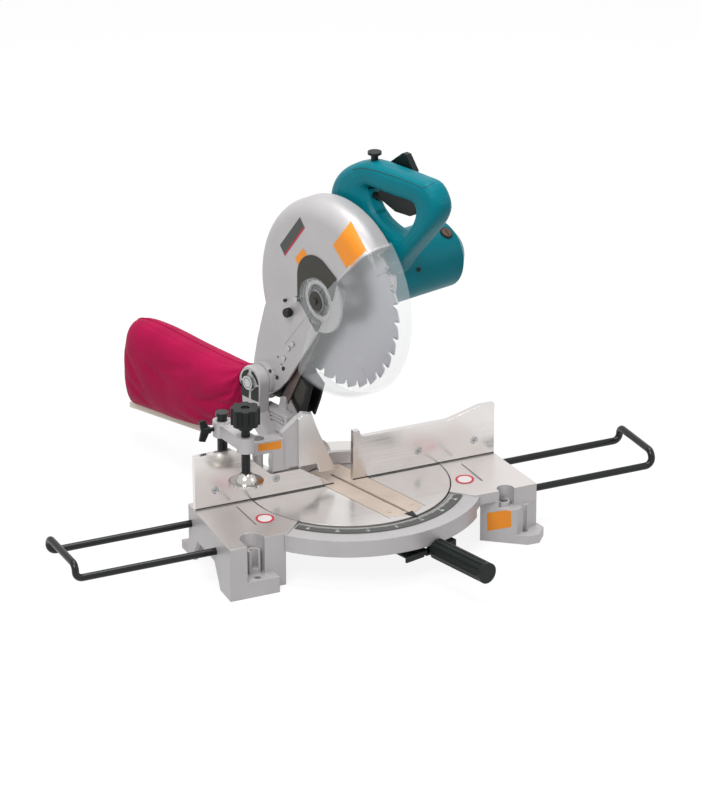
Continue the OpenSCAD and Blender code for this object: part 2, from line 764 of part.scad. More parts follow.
module tilt_lever() color(black) turned() {
    y0 = tilt_y + 30 + gap;
    difference() {
        union() {
            along_y(y0, y0 + 10, 13, 0, table_h);
            front_plate(y0 + 1, y0 + 9)
                polygon([[-9, table_h - 4], [9, table_h + 6], [48, 40], [54, 30], [46, 24], [38, 30]]);
        }
        along_y(y0 - 1, y0 + 11, tilt_bolt_r + fit, 0, table_h);
    }
}

module stopper_pin() color(black) turned() lifted() {
    along_x(ear_right[0] + 0.5, ear_right[1] + 10, 4, 132, 166);
    along_x(ear_right[1] + 10, ear_right[1] + 20, 8, 132, 166);
}

// Chopping head

module cover_profile(in_wall) {
    r1 = in_wall ? cover_in : cover_r;
    left = in_wall ? cover_left_in : cover_left;
    right = in_wall ? cover_right_in : cover_right;
    round_r = shoulder_r - (in_wall ? cover_wall : 0);
    mid = cover_left + shoulder_r;
    intersection() {
        union() {
            translate([0, left]) square([cover_r - shoulder_r, right - left]);
            translate([0, mid]) square([r1, right - mid]);
            translate([cover_r - shoulder_r, mid]) circle(round_r);
        }
        translate([0, left]) square([r1, right - left]);
    }
}

module tail_plan() {
    polygon([
        [blade_y, blade_z], [blade_y + 3.5, blade_z - 48], [92, 206], [111, 187], [126, 178], [hinge_y + 24, hinge_z],
        [hinge_y + 22, 215], [156, 250], [141, 298], [120, blade_z]]);
}

module blade_cover() color(silver) turned() lifted() {
    boss_r = 24;
    port_r = 16;
    port_z = 172;
    step = tail_step;
    difference() {
        union() {
            difference() {
                union() {
                    blade_sector(45, 230) cover_profile(false);
                    side_plate(cover_left + step, cover_right - step) tail_plan();
                    along_x(cover_left + step / 2, cover_left_in - step / 2, 46, blade_y, blade_z);
                }
                blade_sector(40, 236) cover_profile(true);
                side_plate(cover_left_in - step, cover_right_in + step) polygon([
                    [blade_y - 6, blade_z], [blade_y - 6, blade_z - 60], [80, 198], [100, 180], [118, 160],
                    [hinge_y + 18, hinge_z], [hinge_y + 17, 214], [151, 249], [136, 297], [116, blade_z]]);
            }
            along_x(cover_left - 6.4, cover_right - 0.3, boss_r, hinge_y, hinge_z);
            along_y(150, 203, port_r, -10, port_z);
        }
        along_x(-60, 60, hinge_pin_r + fit, hinge_y, hinge_z);
        along_x(-28.5, 2, hinge_pin_r + 4.6, hinge_y, hinge_z);
        along_y(172, 204, port_r - 2.5, -10, port_z);
        along_x(cover_left - 1, cover_left_in + 1, guard_hub_r + fit, blade_y, blade_z);
        along_x(cover_right_in - 1, cover_right + 1, 20, blade_y, blade_z);
        for (s = screw_spots) along_x(cover_left - 1, cover_left_in + 1, 2, s[0], s[1], 32);
    }
}

screw_spots = [[88, 256], [79, 265], [112, 235], [98, 238], [104, 226], [118, 205]];

module cover_screws() color(steel) turned() lifted() {
    for (s = [screw_spots[0], screw_spots[1], screw_spots[3]]) {
        along_x(cover_left - 2, cover_left, 3.6, s[0], s[1]);
        along_x(cover_left, cover_left_in, 2, s[0], s[1]);
    }
    along_x(cover_left - plate_t - 9, cover_left - plate_t, 4, blade_y + 38, blade_z - 8);
}

module centre_plate() color(charcoal) turned() lifted() difference() {
    side_plate(cover_left - plate_t, cover_left) difference() {
        hull() {
            translate([blade_y + 6, blade_z + 24]) circle(38);
            translate([blade_y + 34, blade_z - 6]) circle(10);
            translate([blade_y + 5, blade_z - 44]) circle(3);
            translate([blade_y - 34, blade_z + 40]) circle(4);
        }
        translate([blade_y, blade_z]) circle(29);
    }
}

module housing_plan(spindle_side, motor_side) {
    hull() {
        translate([blade_y, blade_z]) circle(spindle_side);
        translate([-motor_y, motor_z]) circle(motor_side);
    }
}

module gear_housing() color(silver) turned() lifted() difference() {
    side_plate(house_x, house_x + house_t) housing_plan(50, motor_r);
    side_plate(house_x + gear_wall, house_x + house_t - 5) union() {
        translate([blade_y, blade_z]) circle(46);
        translate([-motor_y, motor_z]) circle(18);
    }
    along_x(house_x - 1, house_x + house_t + 1, 14, blade_y, blade_z);
    along_x(house_x - 1, house_x + house_t + 1, 11, -motor_y, motor_z);
    along_x(house_x + house_t - 6, house_x + house_t + 1, 4 + fit, blade_y + 36, blade_z);
}

module bearings() color(steel) turned() lifted() {
    for (x = [house_x + 0.5, house_x + house_t - 5]) difference() {
        along_x(x, x + 5, 14, blade_y, blade_z);
        along_x(x - 1, x + 6, spindle_r + fit, blade_y, blade_z);
    }
    for (x = [house_x + 0.5, house_x + house_t - 5]) difference() {
        along_x(x, x + 5, 11, -motor_y, motor_z);
        along_x(x - 1, x + 6, 5 + fit, -motor_y, motor_z);
    }
    difference() {
        along_x(motor_x1 + 2, motor_x1 + 7, 9, -motor_y, motor_z);
        along_x(motor_x1 + 1, motor_x1 + 8, 5 + fit, -motor_y, motor_z);
    }
}

module motor_housing() color(teal) turned() lifted() difference() {
    along_x(motor_x0, motor_x1, motor_r, -motor_y, motor_z);
    along_x(motor_x0 + 4, motor_x1 + 1, motor_r - 3.5, -motor_y, motor_z);
    along_x(motor_x0 - 1, motor_x0 + 5, 11.5, -motor_y, motor_z);
    brush_holes();
    for (i = [-4:4]) block([motor_x1 - 34, -motor_y + motor_r - 12, motor_z + i * 6 - 1.4],
        [motor_x1 - 12, -motor_y + motor_r + 1, motor_z + i * 6 + 1.4]);
}

module motor_end_cap() color(teal) turned() lifted() {
    cap_l = 24;
    difference() {
        translate([motor_x1, -motor_y, motor_z]) rotate([0, 90, 0]) rotate_extrude() polygon([
            [0, cap_l], [motor_r - 20, cap_l], [motor_r, 5], [motor_r, 0], [motor_r - 3.5, 0], [motor_r - 3.5, 3],
            [motor_r - 23, cap_l - 4], [13, cap_l - 4], [13, 2], [9, 2], [9, 7], [0, 7]]);
        along_x(motor_x1 - 1, motor_x1 + 9, 6, -motor_y, motor_z);
    }
}

module motor_stator() color(charcoal) turned() lifted() difference() {
    along_x(motor_x0 + 16, motor_x1 - 36, motor_r - 3.5, -motor_y, motor_z);
    along_x(motor_x0 + 15, motor_x1 - 35, 30, -motor_y, motor_z);
}

module brush_caps() color("#6B3B1E") turned() lifted() {
    for (a = [33, 213]) translate([motor_x1 - 8, -motor_y, motor_z]) rotate([a, 0, 0]) {
        translate([0, 0, motor_r - 2]) cylinder(h = 4, r = 7);
        translate([0, 0, motor_r - 14]) cylinder(h = 12, r = 4.5);
    }
}

module brush_holes() {
    for (a = [33, 213]) translate([motor_x1 - 8, -motor_y, motor_z]) rotate([a, 0, 0]) {
        translate([0, 0, motor_r - 2]) cylinder(h = 14, r = 7);
        translate([0, 0, motor_r - 14]) cylinder(h = 16, r = 4.5);
    }
}

// Stations round the grip loop: outer edge and inner edge, each as distance in front and height
loop = [
    [-62, 448, 22, 478], [-68, 476, 14, 490], [-52, 506, 9, 500], [-20, 530, 14, 506], [14, 542, 26, 507],
    [60, 544, 60, 507], [104, 545, 96, 509], [138, 543, 106, 507], [156, 520, 109, 497], [149, 494, 106, 486],
    [118, 456, 96, 468], [86, 420, 84, 457], [62, 392, 62, 459], [16, 400, 40, 465], [-38, 437, 29, 471]];

trigger_pivot = [-98, 518];
trigger_pin_r = 2;

module grip_half(side) {
    sides = 10;
    path = closed_curve(loop, 4);
    rings = [for (p = path) let (out = [p[0], p[1]], in = [p[2], p[3]])
        [for (k = [0:sides]) let (turn = k * 180 / sides, b = side > 0 ? turn : 180 - turn,
                at = (out + in) / 2 + (out - in) / 2 * soft(cos(b), 0.7))
            [handle_x + side * handle_t * soft(sin(b), 0.7), -at[0], at[1]]]];
    difference() {
        skin(rings, true);
        along_x(handle_x - 30, handle_x + 30, motor_r, -motor_y, motor_z);
        block([handle_x - trigger_w / 2 - 1, -106, 470], [handle_x + trigger_w / 2 + 1, -24, 528]);
        translate([handle_x, -12, 500]) cylinder(h = 60, r = 5 + fit);
        translate([handle_x, -12, 500]) cylinder(h = 26 + gap, r = 9);
    }
    if (side > 0) along_x(handle_x + handle_t - 8, handle_x + handle_t + 9, 3, -34, 521);
    slot_half = trigger_w / 2 + 1;
    if (side < 0)
        along_x(handle_x - slot_half - 3, handle_x + slot_half - gap, trigger_pin_r, trigger_pivot[0], trigger_pivot[1]);
}

module handle_left() color(teal) turned() lifted() grip_half(-1);
module handle_right() color(teal) turned() lifted() grip_half(1);

module trigger() color(black) turned() lifted()
    side_plate(handle_x - trigger_w / 2, handle_x + trigger_w / 2)
        difference() {
            polygon([
                [-30, 508], [-26, 500], [-34, 492], [-62, 484], [-92, 486], [-103, 494], [-103, 523], [-93, 523],
                [-89, 508]]);
            translate(trigger_pivot) circle(trigger_pin_r + fit);
        }

module lock_off_button() color(black) turned() lifted() {
    translate([handle_x, -12, 526]) cylinder(h = 24, r = 5);
    translate([handle_x, -12, 520]) cylinder(h = 6, r = 8.5);
    translate([handle_x, -12, 550]) cylinder(h = 3.5, r = 9.5);
}

module thumb_paddle() color(black) turned() lifted()
    difference() {
        side_plate(handle_x + handle_t + gap, handle_x + handle_t + 9)
            polygon([[-8, 528], [-20, 536], [-46, 556], [-54, 556], [-70, 536], [-62, 520], [-30, 512], [-12, 518]]);
        along_x(handle_x, handle_x + 60, 3 + fit, -34, 521);
    }

module shaft_lock() color(black) turned() lifted() {
    along_x(house_x + house_t - 4, house_x + house_t + 9, 4, blade_y + 36, blade_z);
    along_x(house_x + house_t + 5, house_x + house_t + 12, 8, blade_y + 36, blade_z);
}

module chute() color(black) turned() lifted() difference() {
    side_plate(-17, cover_right_in + tail_step) polygon([
        [58, 203], [66, 178], [78, 150], [90, 160], [100, 172], [106, 190], [108, 198], [100, 220], [84, 228],
        [74, 214]]);
    side_plate(-13, cover_right_in - 3) polygon([
        [40, 240], [40, 200], [62, 178], [76, 140], [87, 163], [96, 175], [101, 191], [103, 199], [98, 214],
        [96, 240]]);
}

// Lower and upper edge and half thickness of the bag at stations along Y
bag_stations = [
    [204, 152, 190, 20], [214, 120, 189, 29], [239, 94, 187, 35], [290, 66, 187, 38], [340, 57, 188, 38],
    [400, 50.5, 190, 36], [445, 45.8, 186, 32], [472, 43, 172, 22], [481, 70, 140, 10]];
bag_x = -8;

module dust_bag() color(crimson) turned() lifted() {
    rings = [for (s = bag_stations) [for (k = [0:23]) let (a = k * 15)
        [bag_x - s[3] * soft(cos(a), 0.8), s[0], (s[1] + s[2]) / 2 + (s[2] - s[1]) / 2 * soft(sin(a), 0.8)]]];
    skin(rings);
}

module bag_slide() color("#D8CFC0") turned() lifted()
    side_plate(bag_x - 4, bag_x + 4) polygon([[304, 61], [340, 56.6], [400, 50.1], [445, 45.4], [477, 42], [477, 34], [304, 52]]);

// Guard and its link

module guard_section(inset) {
    mid = cover_left + shoulder_r;
    round_r = guard_round - inset;
    flat_r = cover_r - shoulder_r;
    intersection() {
        union() {
            translate([0, mid - round_r]) square([flat_r, 60]);
            translate([0, mid]) square([flat_r + round_r, 60]);
            translate([flat_r, mid]) circle(round_r);
        }
        translate([0, mid - round_r]) square([flat_r + round_r, 12 + round_r - mid + inset]);
    }
}

module guard_profile() {
    difference() {
        guard_section(0);
        guard_section(guard_t);
    }
}

module lower_guard() color(clear) turned() lifted() {
    rib_r = 32;
    step = 0.5;
    difference() {
        union() {
            blade_sector(-110, 46) guard_profile();
            along_x(guard_left - step, guard_left + guard_t - step, rib_r, blade_y, blade_z);
            difference() {
                along_x(guard_left - 3, guard_left, rib_r, blade_y, blade_z);
                along_x(guard_left - 4, guard_left, rib_r - 2, blade_y, blade_z);
            }
            difference() {
                along_x(guard_left - 3, guard_left, 18, blade_y, blade_z);
                along_x(guard_left - 4, guard_left, 16, blade_y, blade_z);
            }
            for (i = [0:5]) translate([0, blade_y, blade_z]) rotate([i * 60, 0, 0])
                block([guard_left - 3, 17.5, -1], [guard_left, rib_r - 1.5, 1]);
            along_x(guard_left, cover_left_in, guard_hub_r, blade_y, blade_z);
            along_x(cover_left_in - 1, link_x + link_t, 3.5, crank_at[0], crank_at[1]);
        }
        along_x(guard_left - 5, cover_left_in + 1, 13, blade_y, blade_z);
    }
}

module guard_cap() color(charcoal) turned() lifted() {
    along_x(guard_left - 2, guard_left + 6, 13, blade_y, blade_z);
    along_x(guard_left - 5, guard_left - 2, 5, blade_y, blade_z, 6);
}

module guard_link() color(silver) turned() lifted() {
    eye_r = 8.2;
    eye_at = crank_at + [-2.9, -3.3];
    across = crank_at - link_foot;
    side = [-across[1], across[0]] / norm(across) * 7;
    difference() {
        union() {
            side_plate(link_x, link_x + link_t)
                polygon([link_foot + side, crank_at + side, crank_at - side, link_foot - side]);
            along_x(link_x, link_x + link_t, 7, link_foot[0], link_foot[1]);
            along_x(link_x, link_x + link_t, eye_r + 4, eye_at[0], eye_at[1]);
        }
        along_x(link_x - 1, link_x + link_t + 1, 4 + fit, link_foot[0], link_foot[1]);
        along_x(link_x - 1, link_x + link_t + 1, eye_r, eye_at[0], eye_at[1]);
    }
}

// Spindle and drive

module saw_blade() color(bright) turned() lifted() {
    step = 360 / blade_teeth;
    root = blade_r - 11;
    difference() {
        side_plate(-blade_t / 2, blade_t / 2) translate([blade_y, blade_z])
            polygon([for (i = [0:blade_teeth - 1]) each [
                for (c = [[blade_r, 0], [blade_r - 2, 0.32], [root + 3, 0.62], [root, 0.78], [root + 1, 0.92]])
                    let (a = -(i + c[1]) * step) c[0] * [cos(a), sin(a)]]]);
        along_x(-5, 5, spindle_r + fit, blade_y, blade_z);
        for (i = [0:3]) translate([0, blade_y, blade_z]) rotate([i * 90 + 20, 0, 0]) {
            block([-3, root - 22, -0.5], [3, blade_r, 0.5]);
            along_x(-3, 3, 2, root - 22, 0, 24);
        }
    }
}

module inner_flange() color(steel) turned() lifted() difference() {
    along_x(blade_t / 2, blade_t / 2 + 5, 21, blade_y, blade_z);
    along_x(0, 10, spindle_r, blade_y, blade_z);
}

module outer_flange() color(steel) turned() lifted() difference() {
    along_x(-blade_t / 2 - 5, -blade_t / 2, 21, blade_y, blade_z);
    along_x(-10, 0, 5, blade_y, blade_z);
}

module arbor_bolt() color(steel) turned() lifted() {
    along_x(-blade_t / 2 - 12, -blade_t / 2 - 5, 8.5, blade_y, blade_z, 6);
    along_x(-blade_t / 2 - 5, 8, 5, blade_y, blade_z);
}

module spindle() color(steel) turned() lifted() difference() {
    along_x(-blade_t / 2, house_x + house_t - 0.3, spindle_r, blade_y, blade_z);
    along_x(-blade_t / 2 - 1, 8, 5, blade_y, blade_z);
}

module drive_gear() color(steel) turned() lifted() difference() {
    mesh = atan2(motor_z - blade_z, -motor_y - blade_y);
    side_plate(gear_x, gear_x + gear_w) translate([blade_y, blade_z]) gear_outline(gear_teeth, module_size, mesh);
    along_x(gear_x - 1, gear_x + gear_w + 1, spindle_r, blade_y, blade_z);
}

module motor_armature() color("#B87333") turned() lifted() {
    mesh = atan2(motor_z - blade_z, -motor_y - blade_y) + 180 + 180 / pinion_teeth;
    side_plate(gear_x, gear_x + gear_w) translate([-motor_y, motor_z]) gear_outline(pinion_teeth, module_size, mesh);
    along_x(house_x + 1, motor_x1 + 7, 5, -motor_y, motor_z);
    along_x(motor_x0 + 18, motor_x1 - 38, 29, -motor_y, motor_z);
    along_x(motor_x1 - 30, motor_x1 - 6, 12, -motor_y, motor_z);
}

// Vise

module vise_post() color(black) lifted() {
    foot_z = drawn_h - rod_drop + rod_r + 5;
    translate([-post_x, post_y, foot_z]) cylinder(h = post_top - foot_z, r = post_r);
    translate([-post_x, post_y, post_top]) cylinder(h = 5, r = post_r + 2);
}

module vise_arm() color(silver) lifted() {
    way = [post_x - screw_x, screw_y - post_y];
    across = [-way[1], way[0]] / norm(way) * 9;
    a = [-post_x, post_y];
    b = [-screw_x, screw_y];
    difference() {
        union() {
            translate([a[0], a[1], vise_arm_z]) cylinder(h = vise_arm_t, r = post_r + 6);
            translate([b[0], b[1], vise_arm_z]) cylinder(h = vise_arm_t, r = screw_r + 6);
            translate([0, 0, vise_arm_z + 2]) linear_extrude(vise_arm_t - 4)
                polygon([a + across, b + across, b - across, a - across]);
        }
        translate([a[0], a[1], vise_arm_z - 1]) cylinder(h = vise_arm_t + 2, r = post_r + fit);
        translate([b[0], b[1], vise_arm_z - 1]) cylinder(h = vise_arm_t + 2, r = screw_r + fit);
        translate([a[0] - 30, a[1], vise_arm_z + vise_arm_t / 2]) rotate([0, 90, 0]) cylinder(h = 25, r = 3);
    }
}

module wing_screw() color(black) lifted() {
    z = vise_arm_z + vise_arm_t / 2;
    along_x(-post_x - 24, -post_x - post_r - gap, 3, post_y, z);
    difference() {
        union() {
            along_x(-post_x - 30, -post_x - 18, 5, post_y, z);
            front_plate(post_y - 2, post_y + 2) polygon([
                [-post_x - 20, z - 4], [-post_x - 26, z - 16], [-post_x - 34, z - 14], [-post_x - 31, z],
                [-post_x - 34, z + 14], [-post_x - 26, z + 16], [-post_x - 20, z + 4]]);
        }
    }
}

module vise_foot() color(bright) lifted() {
    foot_z = 122;
    difference() {
        translate([-screw_x, screw_y, foot_z]) rotate_extrude() difference() {
            union() {
                square([24, 3]);
                intersection() {
                    translate([0, 1]) circle(15);
                    translate([0, 3]) square([15, 13]);
                }
            }
            translate([-20, -20]) square([20, 60]);
        }
        translate([-screw_x, screw_y, foot_z + 6]) cylinder(h = 30, r = screw_r + fit);
    }
}

module vise_screw() color(black) lifted() {
    knob_z = 201;
    knob_r = 20;
    flutes = 8;
    translate([-screw_x, screw_y, 128]) cylinder(h = knob_z - 128 + 1, r = screw_r);
    translate([-screw_x, screw_y, knob_z]) difference() {
        union() {
            translate([0, 0, 7]) cylinder(h = 24, r = knob_r);
            cylinder(h = 8, r = 10);
        }
        for (i = [0:flutes - 1]) rotate([0, 0, i * 360 / flutes]) translate([knob_r + 1.5, 0, 6.9]) cylinder(h = 30, r = 4.5);
        translate([0, 0, 29]) cylinder(h = 5, r = 6);
    }
}

base_casting();
scale_plate();
pivot_bolt();
fence_left();
fence_right();
fence_bridge();
fence_bolts();
sub_fence_pin();
sub_fence();
turn_base();
kerf_board();
mitre_pointer();
tilt_bolt();
lever_pin();
lock_lever();
mitre_grip();
arm();
hinge_pin();
return_spring();
tilt_lever();
stopper_pin();
blade_cover();
centre_plate();
cover_screws();
gear_housing();
motor_housing();
motor_end_cap();
motor_stator();
brush_caps();
handle_left();
handle_right();
bearings();
chute();
dust_bag();
bag_slide();
trigger();
lock_off_button();
thumb_paddle();
shaft_lock();
lower_guard();
guard_cap();
guard_link();
saw_blade();
inner_flange();
outer_flange();
arbor_bolt();
spindle();
drive_gear();
motor_armature();
vise_post();
vise_arm();
wing_screw();
vise_foot();
vise_screw();
holder_left();
holder_right();
holder_screws();
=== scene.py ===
# %% [markdown]
# # A compound mitre saw
# The CAD frame gives each rigid piece of the saw at its true size and place. This lesson dresses that frame:
# it sets the camera, makes one material for each real finish, and builds the pieces that are soft or too fine
# for CAD, such as the dust bag, the carbide tips and the marks of the mitre scale.

# %% Load the frame
import math

import bpy
import numpy as np
from mathutils import Matrix, Vector
from mathutils.bvhtree import BVHTree
from mathutils.geometry import tessellate_polygon


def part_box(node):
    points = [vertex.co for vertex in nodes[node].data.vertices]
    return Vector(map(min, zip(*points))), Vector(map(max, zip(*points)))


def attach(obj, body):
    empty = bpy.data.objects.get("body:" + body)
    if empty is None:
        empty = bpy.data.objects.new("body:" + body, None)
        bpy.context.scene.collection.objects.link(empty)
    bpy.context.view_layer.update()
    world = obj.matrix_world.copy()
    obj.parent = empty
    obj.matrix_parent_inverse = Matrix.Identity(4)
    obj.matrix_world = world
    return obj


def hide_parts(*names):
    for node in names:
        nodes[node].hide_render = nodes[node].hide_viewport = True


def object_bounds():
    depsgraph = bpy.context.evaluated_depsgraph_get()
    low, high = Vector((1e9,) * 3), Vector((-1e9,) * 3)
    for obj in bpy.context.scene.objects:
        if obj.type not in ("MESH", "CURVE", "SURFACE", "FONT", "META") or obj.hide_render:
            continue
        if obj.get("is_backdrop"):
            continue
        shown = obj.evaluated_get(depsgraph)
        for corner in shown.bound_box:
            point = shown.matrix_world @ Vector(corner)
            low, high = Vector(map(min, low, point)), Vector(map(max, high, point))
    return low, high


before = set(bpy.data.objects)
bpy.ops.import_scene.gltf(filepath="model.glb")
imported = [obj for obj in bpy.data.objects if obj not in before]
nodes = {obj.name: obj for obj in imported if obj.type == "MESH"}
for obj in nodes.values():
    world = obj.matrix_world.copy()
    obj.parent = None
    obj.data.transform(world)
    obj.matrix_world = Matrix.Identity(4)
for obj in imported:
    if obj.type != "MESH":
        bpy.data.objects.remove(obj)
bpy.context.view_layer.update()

# %% [markdown]
# ## The turning frame
# The table, arm and head rest at a mitre angle, so their own X and Y are turned about the upright axis. One small
# function takes a point of that frame in millimetres and gives it in metres in the world, so that later cells can
# use the same numbers as a drawing of the saw.

# %% Turning frame
MITRE_REST = math.radians(15)
TABLE_TOP = 0.076


def saw(x, y, z):
    """A point of the turning frame, in millimetres, as metres in the world."""
    c, s = math.cos(MITRE_REST), math.sin(MITRE_REST)
    return Vector((x * c - y * s, x * s + y * c, z)) / 1000


ACROSS = saw(1000, 0, 0)
print("blade axis runs along", [round(v, 3) for v in ACROSS])

# %% [markdown]
# ## The camera
# The photograph was taken from a few metres away with a long lens. Its angles were found by fitting the circle of
# the turning table and the straight fence, so the camera is built from those angles and not by eye. A long lens
# keeps the ellipses flat, which a short lens close by would not.

# %% Camera
PHOTO_W, PHOTO_H = 701, 800
AZIMUTH, ELEVATION, ROLL = (math.radians(a) for a in (-24.928, 23.416, -0.105))
PX_PER_M, DISTANCE = 729.63, 6.2443
TABLE_PIXEL = (347.67, 482.57)
SENSOR_MM = 36

back = Vector((
    math.sin(AZIMUTH) * math.cos(ELEVATION), -math.cos(AZIMUTH) * math.cos(ELEVATION), math.sin(ELEVATION)))
level = Vector((math.cos(AZIMUTH), math.sin(AZIMUTH), 0))
right = math.cos(ROLL) * level + math.sin(ROLL) * back.cross(level)
up = back.cross(right)
eye = (
    back * DISTANCE - right * (TABLE_PIXEL[0] - PHOTO_W / 2) / PX_PER_M
    + up * (TABLE_PIXEL[1] - PHOTO_H / 2) / PX_PER_M + Vector((0, 0, TABLE_TOP)))
FOCAL_PX = PX_PER_M * DISTANCE

camera = bpy.data.objects.new("camera", bpy.data.cameras.new("camera"))
bpy.context.scene.collection.objects.link(camera)
camera.matrix_world = Matrix.Translation(eye) @ Matrix((right, up, back)).transposed().to_4x4()
camera.data.sensor_width = SENSOR_MM
camera.data.lens = SENSOR_MM * FOCAL_PX / PHOTO_H
camera.data.clip_end = 50
bpy.context.scene.camera = camera
bpy.context.scene.view_settings.view_transform = "Standard"
print("lens", round(camera.data.lens, 1), "mm at", [round(v, 2) for v in eye])

# %% [markdown]
# ## Light and floor
# A catalogue picture has soft light from all round, one broad lamp above the operator's left shoulder and a white
# sweep. The world is white to the camera and in reflections, and greyer as a light, so that colours come out as
# they are written. The floor is a pale sheet that keeps a faint shadow. Three small functions serve all shaders: one
# turns a hex colour to linear light, one adds a node, and one tells a look at the sweep from light that comes off it.

# %% Shader helpers
def linear(hex_colour):
    """An sRGB hex colour as a linear RGBA list."""
    parts = [int(hex_colour[i:i + 2], 16) / 255 for i in (1, 3, 5)]
    return [c / 12.92 if c <= 0.04045 else ((c + 0.055) / 1.055) ** 2.4 for c in parts] + [1.0]


def add(tree, kind, settings=None, links=None):
    """Adds a shader node, sets its sockets and properties, and links outputs to its sockets."""
    node = tree.nodes.new("ShaderNode" + kind)
    for key, value in (settings or {}).items():
        if isinstance(key, int) or key in node.inputs:
            node.inputs[key].default_value = value
        else:
            setattr(node, key, value)
    for key, source in (links or {}).items():
        tree.links.new(source, node.inputs[key])
    return node


def seen(tree):
    """1 for camera, glossy and transmission rays, which see the white sweep itself."""
    path = add(tree, "LightPath")
    first = add(tree, "Math", {"operation": "MAXIMUM"},
                {0: path.outputs["Is Camera Ray"], 1: path.outputs["Is Glossy Ray"]})
    return add(tree, "Math", {"operation": "MAXIMUM"},
               {0: first.outputs[0], 1: path.outputs["Is Transmission Ray"]}).outputs[0]


print("mid grey in linear light:", round(linear("#808080")[0], 3))

# %% World and lamps
WORLD_LIGHT, WHITE = 0.42, linear("#FFFFFF")
LAMP_AIM = Vector((0, 0, 0.2))
LAMPS = (
    ("key_lamp", (-1.7, -1.5, 2.5), 1.4, 60),
    ("fill_lamp", (2.4, -1.8, 1.4), 1.8, 10),
    ("top_lamp", (0.2, 0.3, 3.0), 1.8, 52))

world = bpy.data.worlds.new("studio")
world.use_nodes = True
bpy.context.scene.world = world
sky = world.node_tree
strength = add(sky, "MapRange", {"To Min": WORLD_LIGHT, "To Max": 1.0}, {"Value": seen(sky)})
sky.links.new(strength.outputs["Result"], sky.nodes["Background"].inputs["Strength"])
sky.nodes["Background"].inputs["Color"].default_value = WHITE
for name, place, size, watts in LAMPS:
    lamp = bpy.data.objects.new(name, bpy.data.lights.new(name, "AREA"))
    lamp.data.size, lamp.data.energy = size, watts
    bpy.context.scene.collection.objects.link(lamp)
    lamp.location = place
    lamp.rotation_euler = (Vector(place) - LAMP_AIM).to_track_quat("Z", "Y").to_euler()

# %% Floor
FLOOR_HALF, FLOOR_DROP = 9, 0.0005
PAPER_GREY, GLOW_AS_LIGHT, GLOW_AS_SEEN = 0.16, 0.3, 0.86

floor_mesh = bpy.data.meshes.new("floor")
floor_mesh.from_pydata([(FLOOR_HALF * x, FLOOR_HALF * y, 0) for x, y in ((-1, -1), (1, -1), (1, 1), (-1, 1))],
                       [], [(0, 1, 2, 3)])
floor = bpy.data.objects.new("floor", floor_mesh)
floor.location.z = -FLOOR_DROP
bpy.context.scene.collection.objects.link(floor)
paper = bpy.data.materials.new("white_paper_sweep")
paper.use_nodes = True
tree = paper.node_tree
tree.nodes.clear()
shade = add(tree, "BsdfDiffuse", {"Color": [PAPER_GREY, PAPER_GREY, PAPER_GREY, 1]})
lit = add(tree, "MapRange", {"To Min": GLOW_AS_LIGHT, "To Max": GLOW_AS_SEEN}, {"Value": seen(tree)})
glow = add(tree, "Emission", {"Color": WHITE}, {"Strength": lit.outputs["Result"]})
both = add(tree, "AddShader", None, {0: shade.outputs[0], 1: glow.outputs[0]})
add(tree, "OutputMaterial", None, {"Surface": both.outputs[0]})
floor.data.materials.append(paper)
floor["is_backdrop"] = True
print("floor:", 2 * FLOOR_HALF, "metres wide")

# %% [markdown]
# ## A moulded or painted surface
# Most finishes on this saw share three things: a fine grain left by the mould or the paint, slow patches of
# slightly different tone, and edges that are never razor sharp. One function builds those on a Principled shader
# from sizes in millimetres, and each material then adds what is its own. Grain finer than about half a millimetre
# would not show at this size of picture, so it is drawn at the finest size that does.

# %% Surface builder
MM = 0.001
PATCH_MM = 38


def surface(name, colour, rough, metal=0.0, ior=None, grain_mm=0.9, depth_mm=0.02, tone=0.06, edge_mm=0.6, **more):
    """A material with grain, patches of tone and soft edges. Returns it with its tree and shader."""
    material = bpy.data.materials.new(name)
    material.use_nodes = True
    tree = material.node_tree
    shader = tree.nodes["Principled BSDF"]
    shader.inputs["Metallic"].default_value = metal
    if ior:
        shader.inputs["IOR"].default_value = ior
    for key, value in more.items():
        shader.inputs[key.replace("_", " ")].default_value = value
    place = add(tree, "TexCoord").outputs["Object"]
    patch = add(tree, "TexNoise", {"Scale": 1 / (PATCH_MM * MM), "Detail": 4.0}, {"Vector": place})
    grain = add(tree, "TexNoise", {"Scale": 1 / (grain_mm * MM), "Detail": 2.0}, {"Vector": place})
    dark = [c * (1 - tone) for c in linear(colour)[:3]] + [1]
    pale = [min(1, c * (1 + tone)) for c in linear(colour)[:3]] + [1]
    ramp = add(tree, "ValToRGB", None, {"Fac": patch.outputs["Fac"]})
    ramp.color_ramp.elements[0].position, ramp.color_ramp.elements[1].position = 0.3, 0.7
    ramp.color_ramp.elements[0].color, ramp.color_ramp.elements[1].color = dark, pale
    tree.links.new(ramp.outputs["Color"], shader.inputs["Base Color"])
    uneven = add(tree, "MapRange", {"From Min": 0.3, "From Max": 0.7, "To Min": rough * 0.85, "To Max": rough * 1.15},
                 {"Value": grain.outputs["Fac"]})
    tree.links.new(uneven.outputs["Result"], shader.inputs["Roughness"])
    soft_edge = add(tree, "Bevel", {"samples": 4, "Radius": edge_mm * MM})
    bump = add(tree, "Bump", {"Strength": 0.6, "Distance": depth_mm * MM},
               {"Height": grain.outputs["Fac"], "Normal": soft_edge.outputs["Normal"]})
    tree.links.new(bump.outputs["Normal"], shader.inputs["Normal"])
    return material, tree, shader


def feed(shader, socket):
    """The output that already feeds a socket of a shader."""
    return shader.inputs[socket].links[0].from_socket


# %% [markdown]
# ## Cast aluminium, silver enamel
# The base, arm and blade cover are aluminium castings sprayed with silver enamel. Flakes in the paint give it a
# slight metal gleam over a warm grey. The table tops of the base are milled bare after painting, so the same
# material turns to bare metal where a face looks straight up at table height. Two materials on one casting would
# need its faces sorted; a mask by height and direction does it in the shader.

